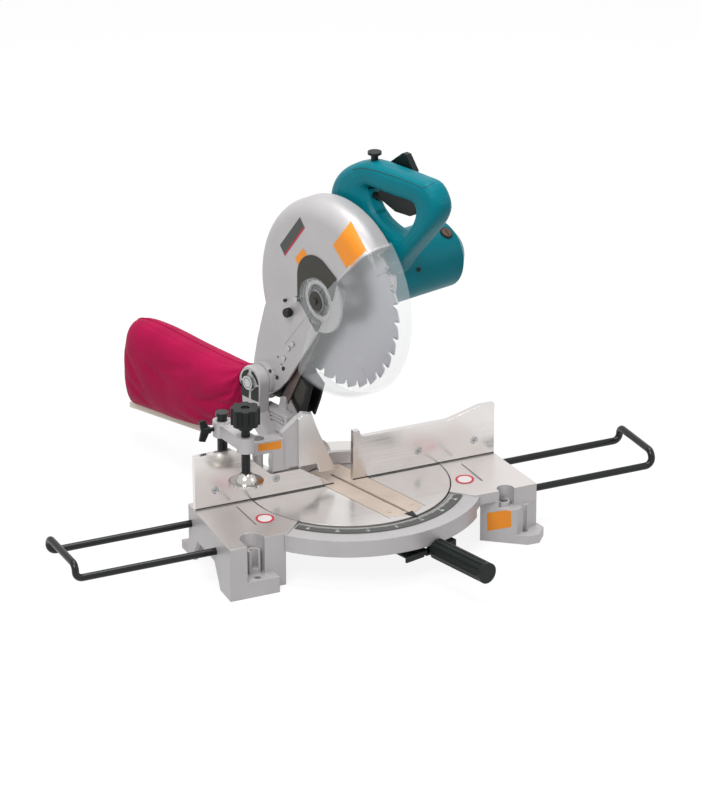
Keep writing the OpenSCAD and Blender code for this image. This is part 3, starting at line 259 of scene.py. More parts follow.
# %% Silver enamel
ENAMEL = dict(colour="#B9B6B7", rough=0.42, metal=0.25, grain_mm=1.3, depth_mm=0.03, tone=0.035, edge_mm=1.1)


def bare_where(tree, shader, mask, colour, rough):
    """Turns enamel to bare metal where a mask is 1."""
    bare = add(tree, "Mix", {"data_type": "RGBA", 7: linear(colour)}, {0: mask, 6: feed(shader, "Base Color")})
    gleam = add(tree, "MapRange", {"To Min": ENAMEL["metal"], "To Max": 1.0}, {"Value": mask})
    polish = add(tree, "Mix", {"data_type": "FLOAT", 3: rough}, {0: mask, 2: feed(shader, "Roughness")})
    tree.links.new(bare.outputs[2], shader.inputs["Base Color"])
    tree.links.new(gleam.outputs["Result"], shader.inputs["Metallic"])
    tree.links.new(polish.outputs[0], shader.inputs["Roughness"])


enamel, tree, shader = surface("silver_enamel_on_cast_aluminium", **ENAMEL)
place = add(tree, "TexCoord")
spot = add(tree, "SeparateXYZ", None, {0: place.outputs["Object"]})
facing = add(tree, "SeparateXYZ", None, {0: place.outputs["Normal"]})
near_top = add(tree, "Math", {"operation": "COMPARE", 1: TABLE_TOP, 2: 0.3 * MM}, {0: spot.outputs["Z"]})
upward = add(tree, "Math", {"operation": "GREATER_THAN", 1: 0.9}, {0: facing.outputs["Z"]})
milled = add(tree, "Math", {"operation": "MULTIPLY"}, {0: near_top.outputs[0], 1: upward.outputs[0]})
bare_where(tree, shader, milled.outputs[0], "#DDD8D6", 0.36)
print("made", enamel.name)

# %% [markdown]
# ## Milled aluminium
# The turning table and the fences are milled bare. A cutter leaves fine parallel lines and a slow wave, which break
# reflections into soft streaks. A noise stretched along one axis draws the lines and changes the gloss with them; real
# ones are about 0.1 mm apart and are drawn at 2.5 mm, the finest that shows. The roughness stays below 0.27 all over,
# because the picture's noise filter treats rougher metal in another way, and a mix of both leaves specks.

# %% Milled aluminium
LINE_MM, WAVE_MM = 2.5, 45
milled_metal, tree, shader = surface("milled_aluminium", "#DEDAD8", 0.22, 1.0, grain_mm=8, depth_mm=0.004, tone=0.03)
place = add(tree, "TexCoord").outputs["Object"]
stretch = add(tree, "Mapping", {"Scale": (12, 1 / (LINE_MM * MM), 1 / (LINE_MM * MM))}, {"Vector": place})
lines = add(tree, "TexNoise", {"Scale": 1.0, "Detail": 2.0}, {"Vector": stretch.outputs[0]})
wave = add(tree, "TexNoise", {"Scale": 1 / (WAVE_MM * MM), "Detail": 1.0}, {"Vector": place})
streaks = add(tree, "MapRange", {"From Min": 0.35, "From Max": 0.65, "To Min": 0.18, "To Max": 0.26},
              {"Value": lines.outputs["Fac"]})
tree.links.new(streaks.outputs["Result"], shader.inputs["Roughness"])
line_bump = add(tree, "Bump", {"Strength": 0.3, "Distance": 0.04 * MM},
                {"Height": lines.outputs["Fac"], "Normal": feed(shader, "Normal")})
wave_bump = add(tree, "Bump", {"Strength": 0.4, "Distance": 0.5 * MM},
                {"Height": wave.outputs["Fac"], "Normal": line_bump.outputs["Normal"]})
tree.links.new(wave_bump.outputs["Normal"], shader.inputs["Normal"])
print("made", milled_metal.name)

# %% [markdown]
# ## Enamel with one milled face
# The sub-fence is painted like the other castings, but the face of its tall plate is milled so that work lies flat
# against it. The same kind of mask does this, here by the direction of the face and by how far it is to the right.

# %% Milled face of the sub-fence
PLATE_FROM = -70.6 * MM
faced_enamel, tree, shader = surface("silver_enamel_with_milled_plate", **ENAMEL)
place = add(tree, "TexCoord")
spot = add(tree, "SeparateXYZ", None, {0: place.outputs["Object"]})
facing = add(tree, "SeparateXYZ", None, {0: place.outputs["Normal"]})
forward = add(tree, "Math", {"operation": "LESS_THAN", 1: -0.9}, {0: facing.outputs["Y"]})
on_plate = add(tree, "Math", {"operation": "GREATER_THAN", 1: PLATE_FROM}, {0: spot.outputs["X"]})
milled = add(tree, "Math", {"operation": "MULTIPLY"}, {0: forward.outputs[0], 1: on_plate.outputs[0]})
bare_where(tree, shader, milled.outputs[0], "#DEDAD8", 0.24)
print("made", faced_enamel.name)

# %% [markdown]
# ## Plated steel and the ground blade
# Bolts and pins are zinc plated, a soft grey metal, and the guard link is steel in a dull brownish grey that paints the
# shade it lies in. The blade is ground on a turning table, so its scratches are circles about its own axis. The
# distance from that axis drives a one-dimensional noise, which gives rings with no texture image and no unwrapping.
# Real scratches are far finer; they are drawn at 0.7 mm, the finest that shows.

# %% Steel
BLADE_Y, BLADE_Z, SCRATCH_MM = 22.5, 347, 0.7
zinc = surface("zinc_plated_steel", "#B9BBBC", 0.36, 1.0, grain_mm=0.7, depth_mm=0.01, tone=0.05, edge_mm=0.4)[0]
blade_steel, tree, shader = surface("ground_blade_steel", "#AEACB3", 0.35, 1.0, grain_mm=2.5, depth_mm=0.005,
                                    tone=0.03, edge_mm=0.2)
place = add(tree, "TexCoord").outputs["Object"]
arm_to = add(tree, "VectorMath", {"operation": "SUBTRACT", 1: saw(0, BLADE_Y, BLADE_Z)}, {0: place})
along = add(tree, "VectorMath", {"operation": "PROJECT", 1: ACROSS}, {0: arm_to.outputs[0]})
out = add(tree, "VectorMath", {"operation": "SUBTRACT"}, {0: arm_to.outputs[0], 1: along.outputs[0]})
radius = add(tree, "VectorMath", {"operation": "LENGTH"}, {0: out.outputs[0]})
rings = add(tree, "TexNoise", {"noise_dimensions": "1D", "Scale": 1 / (SCRATCH_MM * MM), "Detail": 3.0},
            {"W": radius.outputs["Value"]})
ring_bump = add(tree, "Bump", {"Strength": 0.2, "Distance": 0.02 * MM},
                {"Height": rings.outputs["Fac"], "Normal": feed(shader, "Normal")})
tree.links.new(ring_bump.outputs["Normal"], shader.inputs["Normal"])
polished = surface("polished_steel", "#BFBCB8", 0.12, 1.0, grain_mm=2, depth_mm=0.002, tone=0.03, edge_mm=0.4)[0]
# The guard link's dull brownish grey is painted shade, because the link lies in shadow.
shaded_link_steel = surface("phosphated_steel", "#6F625E", 0.45, 0.6, grain_mm=0.8, depth_mm=0.02, tone=0.08,
                     edge_mm=0.4)[0]
carbide = surface("brazed_tungsten_carbide", "#7F7D79", 0.35, 1.0, grain_mm=0.6, depth_mm=0.01, edge_mm=0.15)[0]
print("made", zinc.name, blade_steel.name, carbide.name)

# %% [markdown]
# ## Plastics and black enamel
# The motor housing and handle are moulded ABS in teal with a fine spark-eroded texture and a satin gleam. Knobs and
# levers are glass-filled nylon, a greenish black that scatters light more. The holder rods are enamelled steel,
# smoother and glossier than the plastic beside them. Each is one call, because only colour, gloss and grain differ.

# %% Plastics
teal = surface("moulded_teal_abs", "#00727F", 0.36, 0.0, 1.53, grain_mm=0.7, depth_mm=0.015, tone=0.05, edge_mm=1.2,
               Specular_IOR_Level=0.1)[0]
black = surface("glass_filled_black_nylon", "#0C1412", 0.42, 0.0, 1.53, grain_mm=0.8, depth_mm=0.03, tone=0.1,
                edge_mm=0.9, Specular_IOR_Level=0.25)[0]
rod_paint = surface("black_enamelled_steel", "#0D1110", 0.22, 0.0, 1.5, grain_mm=1.5, depth_mm=0.01, tone=0.08,
                    Specular_IOR_Level=0.35)[0]
charcoal = surface("charcoal_enamel", "#393833", 0.42, 0.0, 1.5, grain_mm=0.9, depth_mm=0.02, tone=0.05,
                   Specular_IOR_Level=0.25)[0]
rubber = surface("moulded_black_rubber", "#0F1312", 0.55, 0.0, 1.52, grain_mm=0.8, depth_mm=0.05, tone=0.12,
                 edge_mm=1.0, Specular_IOR_Level=0.25)[0]
tan = surface("tan_kerf_plastic", "#CBBAAC", 0.5, 0.0, 1.49, grain_mm=1.1, depth_mm=0.03, tone=0.07, edge_mm=0.3)[0]
scale_coat = surface("dark_anodised_aluminium", "#4C4E4C", 0.4, 0.0, 1.5, grain_mm=0.7, depth_mm=0.01, tone=0.06,
                     edge_mm=0.2, Specular_IOR_Level=0.3)[0]
cream = surface("cream_slide_plastic", "#E4DACB", 0.4, 0.0, 1.5, grain_mm=1.2, depth_mm=0.02, tone=0.04)[0]
brown = surface("phenolic_brush_cap", "#4A2C1B", 0.35, 0.0, 1.6, grain_mm=0.8, depth_mm=0.03, tone=0.12)[0]
copper = surface("copper_winding", "#B87333", 0.35, 1.0, grain_mm=0.8, depth_mm=0.08, tone=0.1)[0]
print("made", len(bpy.data.materials), "materials so far")

# %% [markdown]
# ## Rolled thread
# The clamp screw is blackened steel with a rolled thread of 3 mm pitch. It is drawn as a wave along the rod below the
# knob: a raised helix would cut into the clamp's arm when the screw is fed. A wave texture has a period of 2 pi over
# 20 times its scale, so the scale follows from the pitch.

# %% Rolled thread
PITCH_MM, KNOB_FOOT = 3, 0.19
rolled, tree, shader = surface("blackened_rolled_steel", "#0C1412", 0.4, 0.0, 1.53, grain_mm=0.8, depth_mm=0.02,
                               tone=0.1, edge_mm=0.9, Specular_IOR_Level=0.25)
place = add(tree, "TexCoord").outputs["Object"]
ridges = add(tree, "TexWave", {"bands_direction": "Z", "Scale": 2 * math.pi / (20 * PITCH_MM * MM)},
             {"Vector": place})
spot = add(tree, "SeparateXYZ", None, {0: place})
on_rod = add(tree, "Math", {"operation": "LESS_THAN", 1: KNOB_FOOT}, {0: spot.outputs["Z"]})
ridge = add(tree, "Math", {"operation": "MULTIPLY"}, {0: ridges.outputs["Fac"], 1: on_rod.outputs[0]})
cut = add(tree, "Bump", {"Strength": 0.7, "Distance": 0.6 * MM},
          {"Height": ridge.outputs[0], "Normal": feed(shader, "Normal")})
tree.links.new(cut.outputs["Normal"], shader.inputs["Normal"])
print("made", rolled.name)

# %% [markdown]
# ## Clear polycarbonate
# The lower guard is moulded in clear polycarbonate about 2.5 mm thick. A sheet as thin as that hardly shifts what is
# behind it, so it is drawn as a thin film with one low opacity all over. Where the line of sight passes through more
# walls, as at the rim and the hub, the films add up and the edge stands out whiter, as it does on the real guard.
# True refraction in the solid hub would only scramble the bolt behind.

# %% Polycarbonate
clear = surface("clear_polycarbonate", "#E6EBEC", 0.06, 0.0, 1.585, grain_mm=9, depth_mm=0.02, tone=0.02, edge_mm=0.5,
                Alpha=0.15)[0]
print("made", clear.name)

# %% [markdown]
# ## Finishes onto the CAD nodes
# Each node keeps its CAD shape and gets its finish through its material slot. A table of finish to nodes reads
# like a parts list and shows at a glance what is still undressed.

# %% Dress the nodes
FINISHES = {
    enamel: "base_casting fence_bridge arm blade_cover gear_housing vise_arm",
    faced_enamel: "sub_fence",
    milled_metal: "fence_left fence_right turn_base",
    polished: "vise_foot",
    zinc: "pivot_bolt fence_bolts sub_fence_pin tilt_bolt lever_pin hinge_pin return_spring cover_screws bearings "
          "inner_flange outer_flange arbor_bolt spindle drive_gear holder_screws",
    shaded_link_steel: "guard_link",
    blade_steel: "saw_blade",
    teal: "motor_housing motor_end_cap handle_left handle_right",
    black: "mitre_pointer lock_lever mitre_grip tilt_lever stopper_pin trigger lock_off_button thumb_paddle "
           "shaft_lock wing_screw",
    rolled: "vise_screw",
    rod_paint: "vise_post holder_left holder_right",
    charcoal: "centre_plate guard_cap motor_stator",
    rubber: "chute",
    tan: "kerf_board",
    scale_coat: "scale_plate",
    clear: "lower_guard",
    cream: "bag_slide dust_bag",
    brown: "brush_caps",
    copper: "motor_armature",
}
for material, names in FINISHES.items():
    for name in names.split():
        mesh = nodes[name].data
        mesh.materials.clear()
        mesh.materials.append(material)
bare_nodes = set(nodes) - {n for names in FINISHES.values() for n in names.split()}
print("dressed", len(nodes) - len(bare_nodes), "nodes; without a finish:", sorted(bare_nodes))

# %% [markdown]
# ## Making and placing pieces
# Every new piece is a mesh in world metres that rides on a CAD body. One helper makes the object and gives it a
# material and a body, so the cells below only have to think about shape. Most shapes are rows of points joined by
# quads, open like a cloth or closed to a tube with lids.

# %% Piece helpers
def piece(name, verts, faces, material, body, slot, smooth=True):
    """A mesh object from points in metres, riding on a body."""
    mesh = bpy.data.meshes.new(name)
    mesh.from_pydata([tuple(v) for v in verts], [], faces)
    mesh.validate()
    mesh.update()
    if smooth:
        mesh.shade_smooth()
        mesh.set_sharp_from_angle(angle=math.radians(40))
    obj = bpy.data.objects.new(name, mesh)
    bpy.context.scene.collection.objects.link(obj)
    mesh.materials.append(material)
    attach(obj, body)
    return obj


def net(rows, count, closed=True, base=0):
    """Quads that join rows of points, each row closed to a ring or left open."""
    return [[base + n for n in (i * count + k, i * count + (k + 1) % count,
                                (i + 1) * count + (k + 1) % count, (i + 1) * count + k)]
            for i in range(rows - 1) for k in range(count if closed else count - 1)]


def tube(rows, count):
    """Quads that join rings of points, with a lid at each end."""
    last = (rows - 1) * count
    return net(rows, count) + [list(range(count))[::-1], list(range(last, last + count))]


print("a tube of two squares has", len(tube(2, 4)), "faces")

# %% [markdown]
# ## The dust bag
# A sewn nylon bag hangs behind the head on the dust port, gathered at the neck and held flat at the bottom by a
# slide. It could be simulated from flat panels, but air keeps it full and the folds that matter are few: pleats
# that fan out from the neck, a slack belly and a ridge of seam along top and bottom. So it is lofted
# through stations along its length as two panels, left and right, as it is sewn, and the folds are small moves of
# the surface. A station is a place along the bag, its low and high edge and its half width, all in millimetres.

# %% Bag shell
BAG_X, BAG_ROUND = -8, 0.82
BAG_STATIONS = [
    (203.5, 153, 187, 18), (214, 122, 185, 27), (239, 96, 183, 33), (290, 68, 183, 37), (340, 58.5, 184, 37.5),
    (400, 52, 186, 35), (443, 47.5, 182, 31), (462, 45.5, 171, 23), (470, 56, 152, 13), (472, 84, 124, 4)]
BAG_HALF, BAG_STEPS = 56, 9
PLEATS, PLEAT_DEEP, STITCH_DEEP = 9, 2.6, 1.6
WRINKLES = (  # along, up, slope, depth, width
    (232, 112, 0.2, 5.0, 5), (240, 126, -0.15, 5.4, 5), (228, 140, -0.5, 4.2, 4), (268, 92, 0.3, 4.4, 6),
    (300, 76, 0.12, 3.6, 5), (330, 150, -0.3, 2.6, 7), (380, 130, 0.25, 2.4, 6), (420, 80, 0.6, 3.2, 7),
    (436, 120, 0.9, 2.6, 8))


def catmull(points, steps):
    """Points on a smooth curve through a list of points."""
    points = [np.array(p, float) for p in points]
    ends = [2 * points[0] - points[1]] + points + [2 * points[-1] - points[-2]]
    found = []
    for i in range(1, len(ends) - 2):
        a, b, c, d = ends[i - 1:i + 3]
        for k in range(steps):
            t = k / steps
            found.append(0.5 * (2 * b + (c - a) * t + (2 * a - 5 * b + 4 * c - d) * t * t
                                + (3 * b - a - 3 * c + d) * t ** 3))
    return found + [points[-1]]


def boxed(value, power):
    """A sine or cosine pushed outwards, which turns an ellipse into a rounded box."""
    return math.copysign(abs(value) ** power, value)


def bag_point(y, low, high, half, turn):
    """A point of the bag's skin, with pleats at the neck, wrinkles below it and a stitched seam line."""
    c, s = math.cos(turn), math.sin(turn)
    x = BAG_X - half * boxed(c, BAG_ROUND)
    z = (low + high) / 2 + (high - low) / 2 * boxed(s, BAG_ROUND)
    neck = math.exp(-(y - 204) / 26) * min(1, (y - 203) / 8)
    body = max(0.0, min(1.0, (y - 215) / 40)) * max(0.0, min(1.0, (474 - y) / 40))
    puff = PLEAT_DEEP * neck * math.sin(turn * PLEATS + y * 0.05)
    puff += body * abs(c) * (0.9 * math.sin(y * 0.031 + s * 1.7) + 0.5 * math.sin(y * 0.083 - z * 0.05))
    for at_y, at_z, slope, depth, wide in WRINKLES:
        fade = math.exp(-((y - at_y) / 30) ** 2)
        puff -= depth * fade * abs(c) * math.exp(-((z - at_z - slope * (y - at_y)) / wide) ** 2)
    puff -= STITCH_DEEP * body * math.exp(-((abs(s) - 0.94) / 0.014) ** 2)
    return saw(x - c * puff, y, z + s * puff * 0.3)


stations = catmull(BAG_STATIONS, BAG_STEPS)
row = BAG_HALF + 1
verts, faces = [], []
for first_turn in (-math.pi / 2, math.pi / 2):
    base = len(verts)
    verts += [bag_point(*station, first_turn + math.pi * k / BAG_HALF) for station in stations for k in range(row)]
    faces += net(len(stations), row, False, base)
    faces.append([base + (len(stations) - 1) * row + k for k in range(row)])
print("bag:", len(verts), "points")

# %% [markdown]
# ## Woven nylon
# The bag's cloth is a plain weave with a soft sheen. Two sets of bands cross each other along the bag's length and
# height; real threads lie 0.4 mm apart and are drawn at 1.1 mm. A sheen layer gives the pale bloom along the folds.

# %% Nylon cloth
THREAD_MM, BAG_CUT = 1.1, (0.32, 0.32)
nylon, tree, shader = surface("crimson_nylon_weave", "#A80D46", 0.65, 0.0, 1.53, grain_mm=2.0, depth_mm=0.05,
                              tone=0.09, edge_mm=0.2, Sheen_Weight=0.03, Sheen_Roughness=0.4,
                              Specular_IOR_Level=0.12)
place = add(tree, "TexCoord").outputs["Object"]
turned = add(tree, "Mapping", {"Rotation": (0, 0, -MITRE_REST)}, {"Vector": place}).outputs[0]
warp, weft = (
    add(tree, "TexWave", {"bands_direction": way, "Scale": 2 * math.pi / (20 * THREAD_MM * MM)}, {"Vector": turned})
    for way in "YZ")
cross = add(tree, "Math", {"operation": "MULTIPLY"}, {0: warp.outputs["Fac"], 1: weft.outputs["Fac"]})
weave = add(tree, "Bump", {"Strength": 0.35, "Distance": 0.15 * MM},
            {"Height": cross.outputs[0], "Normal": feed(shader, "Normal")})
tree.links.new(weave.outputs["Normal"], shader.inputs["Normal"])
bag = piece("dust_bag_cloth", verts, faces, nylon, "head", "crimson_cloth")
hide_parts("dust_bag")

# %% [markdown]
# ## Bag seams
# The two panels are joined by a welt, a narrow tube of the same cloth that is caught in the seam. It runs along the
# top, round the back and along the bottom, and a hem goes round the neck where the bag is tied to the dust port.
# A welt is a round profile carried along a line, so one function sweeps a profile along a path.

# %% Bag seams
WELT_MM, HEM_MM, WELT_FROM, HEM_AT, HEM_STEPS = 1.3, 1.5, 3, 2, 48


def sweep(path, profile):
    """Points and faces of a profile of (side, up) carried along a path of points."""
    verts = []
    side = (path[1] - path[0]).orthogonal().normalized()
    for i, point in enumerate(path):
        ahead = (path[min(i + 1, len(path) - 1)] - path[max(i - 1, 0)]).normalized()
        side = (side - ahead * side.dot(ahead)).normalized()
        rise = ahead.cross(side)
        verts += [point + side * a + rise * b for a, b in profile]
    return verts, tube(len(path), len(profile))


def circle(radius_mm, sides=12):
    """A round profile for sweep, in metres."""
    return [(radius_mm * MM * math.cos(2 * math.pi * k / sides), radius_mm * MM * math.sin(2 * math.pi * k / sides))
            for k in range(sides)]


top_line, low_line = (
    [bag_point(*station, turn) for station in stations[WELT_FROM:]] for turn in (math.pi / 2, -math.pi / 2))
hem = [bag_point(*stations[HEM_AT], 2 * math.pi * k / HEM_STEPS) for k in range(HEM_STEPS + 1)]
for name, path, radius_mm in (
        ("dust_bag_welt", top_line + low_line[::-1], WELT_MM), ("dust_bag_hem", hem, HEM_MM)):
    piece(name, *sweep(path, circle(radius_mm, 8)), nylon, "head", "crimson_cloth")
print("welt", round(sum((b - a).length for a, b in zip(top_line, top_line[1:])), 3), "metres along the top")

# %% [markdown]
# ## Blade plate
# The plate is laser cut: long low tooth backs, narrow gullets to clear the chips, and four expansion slots that end
# in a round hole so that the rim can grow when it is hot. The outline is drawn once round the rim, filled with the
# bore as a hole, and given its thickness.

# %% Blade plate
TEETH, BLADE_R, BLADE_HALF, GULLET, BORE_R = 32, 130.0, 1.2, 11.0, 12.5
PITCH = 2 * math.pi / TEETH
SLOTS, SLOT_LONG, SLOT_HALF, HOLE_DEEP, HOLE_R = 4, 15, 0.5, 17, 2.2
SLOT_BEFORE, SLOT_MIDDLE, SLOT_AFTER = 0.81, 0.84, 0.87
TOOTH = [(0.0, 0.0), (0.3, 1.5), (0.58, 3.0), (0.68, 4.6), (0.745, 8.6), (SLOT_BEFORE, GULLET), (SLOT_AFTER, GULLET),
         (0.92, 10.0)]
outline = []
for i in range(TEETH):
    for share, drop in TOOTH:
        outline.append((BLADE_R - drop, -(i + share) * PITCH))
        if share == SLOT_BEFORE and i % (TEETH // SLOTS) == 2:
            slot_r, slot_a = BLADE_R - GULLET, -(i + SLOT_MIDDLE) * PITCH
            outline.append((slot_r - SLOT_LONG, slot_a + SLOT_HALF / slot_r))
            for k in range(1, 12):
                turn = k * math.pi / 6
                outline.append((slot_r - HOLE_DEEP + HOLE_R * math.cos(turn),
                                slot_a + HOLE_R * math.sin(turn) / slot_r))
            outline.append((slot_r - SLOT_LONG, slot_a - SLOT_HALF / slot_r))
rim = [Vector((r * math.cos(a), r * math.sin(a), 0)) for r, a in outline]
bore = [Vector((BORE_R * math.cos(a), BORE_R * math.sin(a), 0))
        for a in np.linspace(0, 2 * math.pi, 48, endpoint=False)]
flat = rim + bore
flat_faces = [list(f) for f in tessellate_polygon([rim, bore])]
verts = [saw(x, BLADE_Y + p.x, BLADE_Z + p.y) for x in (-BLADE_HALF, BLADE_HALF) for p in flat]
faces = flat_faces + [[len(flat) + k for k in f][::-1] for f in flat_faces]
for start, count in ((0, len(rim)), (len(rim), len(bore))):
    ring = [start + k for k in range(count)]
    faces += [[a, b, b + len(flat), a + len(flat)] for a, b in zip(ring, ring[1:] + ring[:1])]
plate = piece("blade_plate", verts, faces, blade_steel, "blade", "blade_steel", smooth=False)
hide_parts("saw_blade")
print("blade plate:", len(outline), "points round the rim")

# %% [markdown]
# ## Carbide tips
# Each tooth of the blade carries a small block of tungsten carbide, brazed to its leading face and a little wider
# than the plate, so that only the tips cut. One block is shaped and then turned round the blade axis.

# %% Carbide tips
TIP_LONG, TIP_DEEP, TIP_HALF, TIP_TAPER = 7.0, 2.2, 1.5, 0.2
LEAN = 0.05 * PITCH
tip_outline = [(BLADE_R - 0.1, 0), (BLADE_R - TIP_LONG, LEAN), (BLADE_R - TIP_LONG, LEAN - TIP_DEEP / BLADE_R),
               (BLADE_R - 0.7, -TIP_DEEP / BLADE_R)]
verts, faces = [], []
for i in range(TEETH):
    base = len(verts)
    for x in (-1, 1):
        for r, a in tip_outline:
            half = TIP_HALF if r > BLADE_R - 2 else TIP_HALF - TIP_TAPER
            turn = a - i * PITCH
            verts.append(saw(x * half, BLADE_Y + r * math.cos(turn), BLADE_Z + r * math.sin(turn)))
    faces += [[base + k for k in (0, 1, 2, 3)], [base + k for k in (7, 6, 5, 4)]]
    faces += [[base + k, base + 4 + k, base + 4 + (k + 1) % 4, base + (k + 1) % 4] for k in range(4)]
piece("carbide_tips", verts, faces, carbide, "blade", "blade_steel", smooth=False)
print("tips:", TEETH)

# %% [markdown]
# ## Mitre scale
# A dark plate on the rim carries a white mark for each degree, longer at every fifth and fifteenth, with numbers at
# the angles that are used most. The marks are thin raised strips, so they stay sharp at any distance and export as
# shapes.

# %% Scale marks
white_ink = surface("white_scale_ink", "#E8E8E4", 0.5, 0.0, 1.5, grain_mm=1.0, depth_mm=0.005, tone=0.03,
                    edge_mm=0.1)[0]
SCALE_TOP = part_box("scale_plate")[1].z
INK, MARK_R, MARK_HALF = 0.12 * MM, 145.2, 0.35


def rim_point(degrees, r_mm, side_mm, z):
    """A point on the rim: degrees to the right of straight ahead, radius, sideways shift, height."""
    a = math.radians(degrees - 90)
    return Vector((math.cos(a) * r_mm - math.sin(a) * side_mm, math.sin(a) * r_mm + math.cos(a) * side_mm, z / MM)) * MM


verts, faces = [], []
for degree in range(-50, 51):
    mark_end = MARK_R + (8.0 if degree % 15 == 0 else 6.2 if degree % 5 == 0 else 4.4)
    base = len(verts)
    for z in (SCALE_TOP, SCALE_TOP + INK):
        verts += [rim_point(degree, r, side, z) for r, side in
                  ((MARK_R, -MARK_HALF), (MARK_R, MARK_HALF), (mark_end, MARK_HALF), (mark_end, -MARK_HALF))]
    faces += [[base + 4 + k for k in range(4)]] + net(2, 4, True, base)
marks = piece("mitre_scale_marks", verts, faces, white_ink, "base", "scale_paint", smooth=False)
print("scale marks:", len(marks.data.polygons) // 5)

# %% Scale numbers
NUMBER_R, NUMBER_SIZE = 156.5, 6.0 * MM
NUMBERED = (-45, -30, -15, 0, 15, 30, 45)
for degree in NUMBERED:
    side = "left" if degree < 0 else "right"
    text = bpy.data.curves.new(f"mitre_number_{degree}", "FONT")
    text.body, text.size, text.extrude = str(abs(degree)), NUMBER_SIZE, INK / 2
    text.align_x, text.align_y = "CENTER", "CENTER"
    maker = bpy.data.objects.new(text.name, text)
    bpy.context.scene.collection.objects.link(maker)
    bpy.context.view_layer.update()
    shape = bpy.data.meshes.new_from_object(maker.evaluated_get(bpy.context.evaluated_depsgraph_get()))
    bpy.data.objects.remove(maker)
    centre = rim_point(degree, NUMBER_R, 0, SCALE_TOP + INK / 2)
    shape.transform(Matrix.Translation(centre) @ Matrix.Rotation(math.radians(degree), 4, "Z"))
    shape.materials.clear()
    shape.materials.append(white_ink)
    number = bpy.data.objects.new(f"mitre_number_{side}_{abs(degree)}", shape)
    bpy.context.scene.collection.objects.link(number)
    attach(number, "base")
print("numbers:", len(NUMBERED))

# %% [markdown]
# ## Plain stickers
# Coloured foil stickers sit on the cover, the sub-fence and the base. They stay blank. A sticker follows the
# surface below it, so each one is laid out as a grid seen from the camera, dropped along the line of sight onto its
# carrier and raised by the thickness of the foil. A cell that spans a step, such as the cover's edge, is left out.

# %% Sticker helpers
FOIL, STEP_LIMIT = 0.2 * MM, 9 * MM
trees = {}


def sight(px, py):
    """Direction from the eye through a pixel of the photograph."""
    return (-back + right * (px - PHOTO_W / 2) / FOCAL_PX - up * (py - PHOTO_H / 2) / FOCAL_PX).normalized()


def under(carrier, px, py):
    """Where the line of sight through a pixel meets a CAD node, and the normal there."""
    if carrier not in trees:
        mesh = nodes[carrier].data
        trees[carrier] = BVHTree.FromPolygons([v.co for v in mesh.vertices], [list(p.vertices) for p in mesh.polygons])
    hit, normal, _, _ = trees[carrier].ray_cast(eye, sight(px, py))
    if hit is None:
        raise ValueError(f"nothing of {carrier} lies under pixel {px:.0f}, {py:.0f}")
    return hit, normal if normal.dot(back) > 0 else -normal


def sticker(name, layout, carrier, material, body, lift=1, cells=(10, 10)):
    """A foil laid onto a CAD node, from a layout of pixels for u and v from 0 to 1."""
    across, down = cells
    verts = []
    for i in range(across + 1):
        for k in range(down + 1):
            hit, normal = under(carrier, *layout(i / across, k / down))
            verts.append(hit + normal * FOIL * lift)
    faces = [f for f in net(across + 1, down + 1, False)
             if np.ptp([(verts[n] - eye).length for n in f]) < STEP_LIMIT]
    used = sorted({n for f in faces for n in f})
    place = {n: at for at, n in enumerate(used)}
    print(name, "keeps", len(faces), "of", across * down, "cells")
    return piece(name, [verts[n] for n in used], [[place[n] for n in f] for f in faces], material, body, "cast_silver")


def quad(a, b, c, d):
    """The layout of a sticker with four corners."""
    return lambda u, v: [(a[n] * (1 - u) + b[n] * u) * (1 - v) + (d[n] * (1 - u) + c[n] * u) * v for n in (0, 1)]


def disc(cx, cy, wide, high, inner):
    """The layout of a ring from an inner share to the full half width and half height."""
    def at(u, v):
        a, r = math.radians(360 * u), inner + (1 - inner) * v
        return cx + wide * r * math.cos(a), cy + high * r * math.sin(a)
    return at


# %% Stickers
FOIL_LOOKS = dict(metal=0.0, ior=1.5, grain_mm=3, depth_mm=0.01, tone=0.03, edge_mm=0.1, Specular_IOR_Level=0.3)
orange, grey, red, white = (
    surface(f"{tint}_vinyl_foil", colour, 0.35, **FOIL_LOOKS)[0] for tint, colour in (
        ("orange", "#F2942A"), ("grey", "#464B46"), ("red", "#C2203F"), ("white", "#DDD6D4")))
FOILS = (
    ("cover_foil", "blade_cover", "head", orange, 1, (351, 221), (370, 256.5), (352, 278), (333, 245)),
    ("cover_badge", "blade_cover", "head", grey, 1, (300, 217), (305, 228), (285, 256), (280, 245)),
    ("cover_badge_line", "blade_cover", "head", red, 2, (304.3, 226.4), (305, 228), (285, 256), (284.3, 254.4)),
    ("cover_foil_small", "blade_cover", "head", orange, 1, (303.5, 248), (307, 255), (298, 265), (295, 258)),
    ("sub_fence_foil", "sub_fence", "sub_fence", orange, 1, (258, 444.6), (281, 440.6), (281.2, 448.6), (258.2, 451.2)),
    ("block_foil", "base_casting", "base", orange, 1, (487, 513), (511, 509.5), (511.4, 527), (487.4, 531)))
for name, carrier, body, foil, lift, *corners in FOILS:
    sticker(name, quad(*corners), carrier, foil, body, lift)
DISC_WIDE, DISC_HIGH = 9.4, 4.5
for side, cx, cy in (("left", 264.8, 518.5), ("right", 464.7, 479.4)):
    sticker(f"wing_disc_{side}", disc(cx, cy, DISC_WIDE, DISC_HIGH, 0.03), "base_casting", white, "base", 1, (40, 3))
    sticker(f"wing_ring_{side}", disc(cx, cy, DISC_WIDE, DISC_HIGH, 0.76), "base_casting", red, "base", 2, (40, 2))
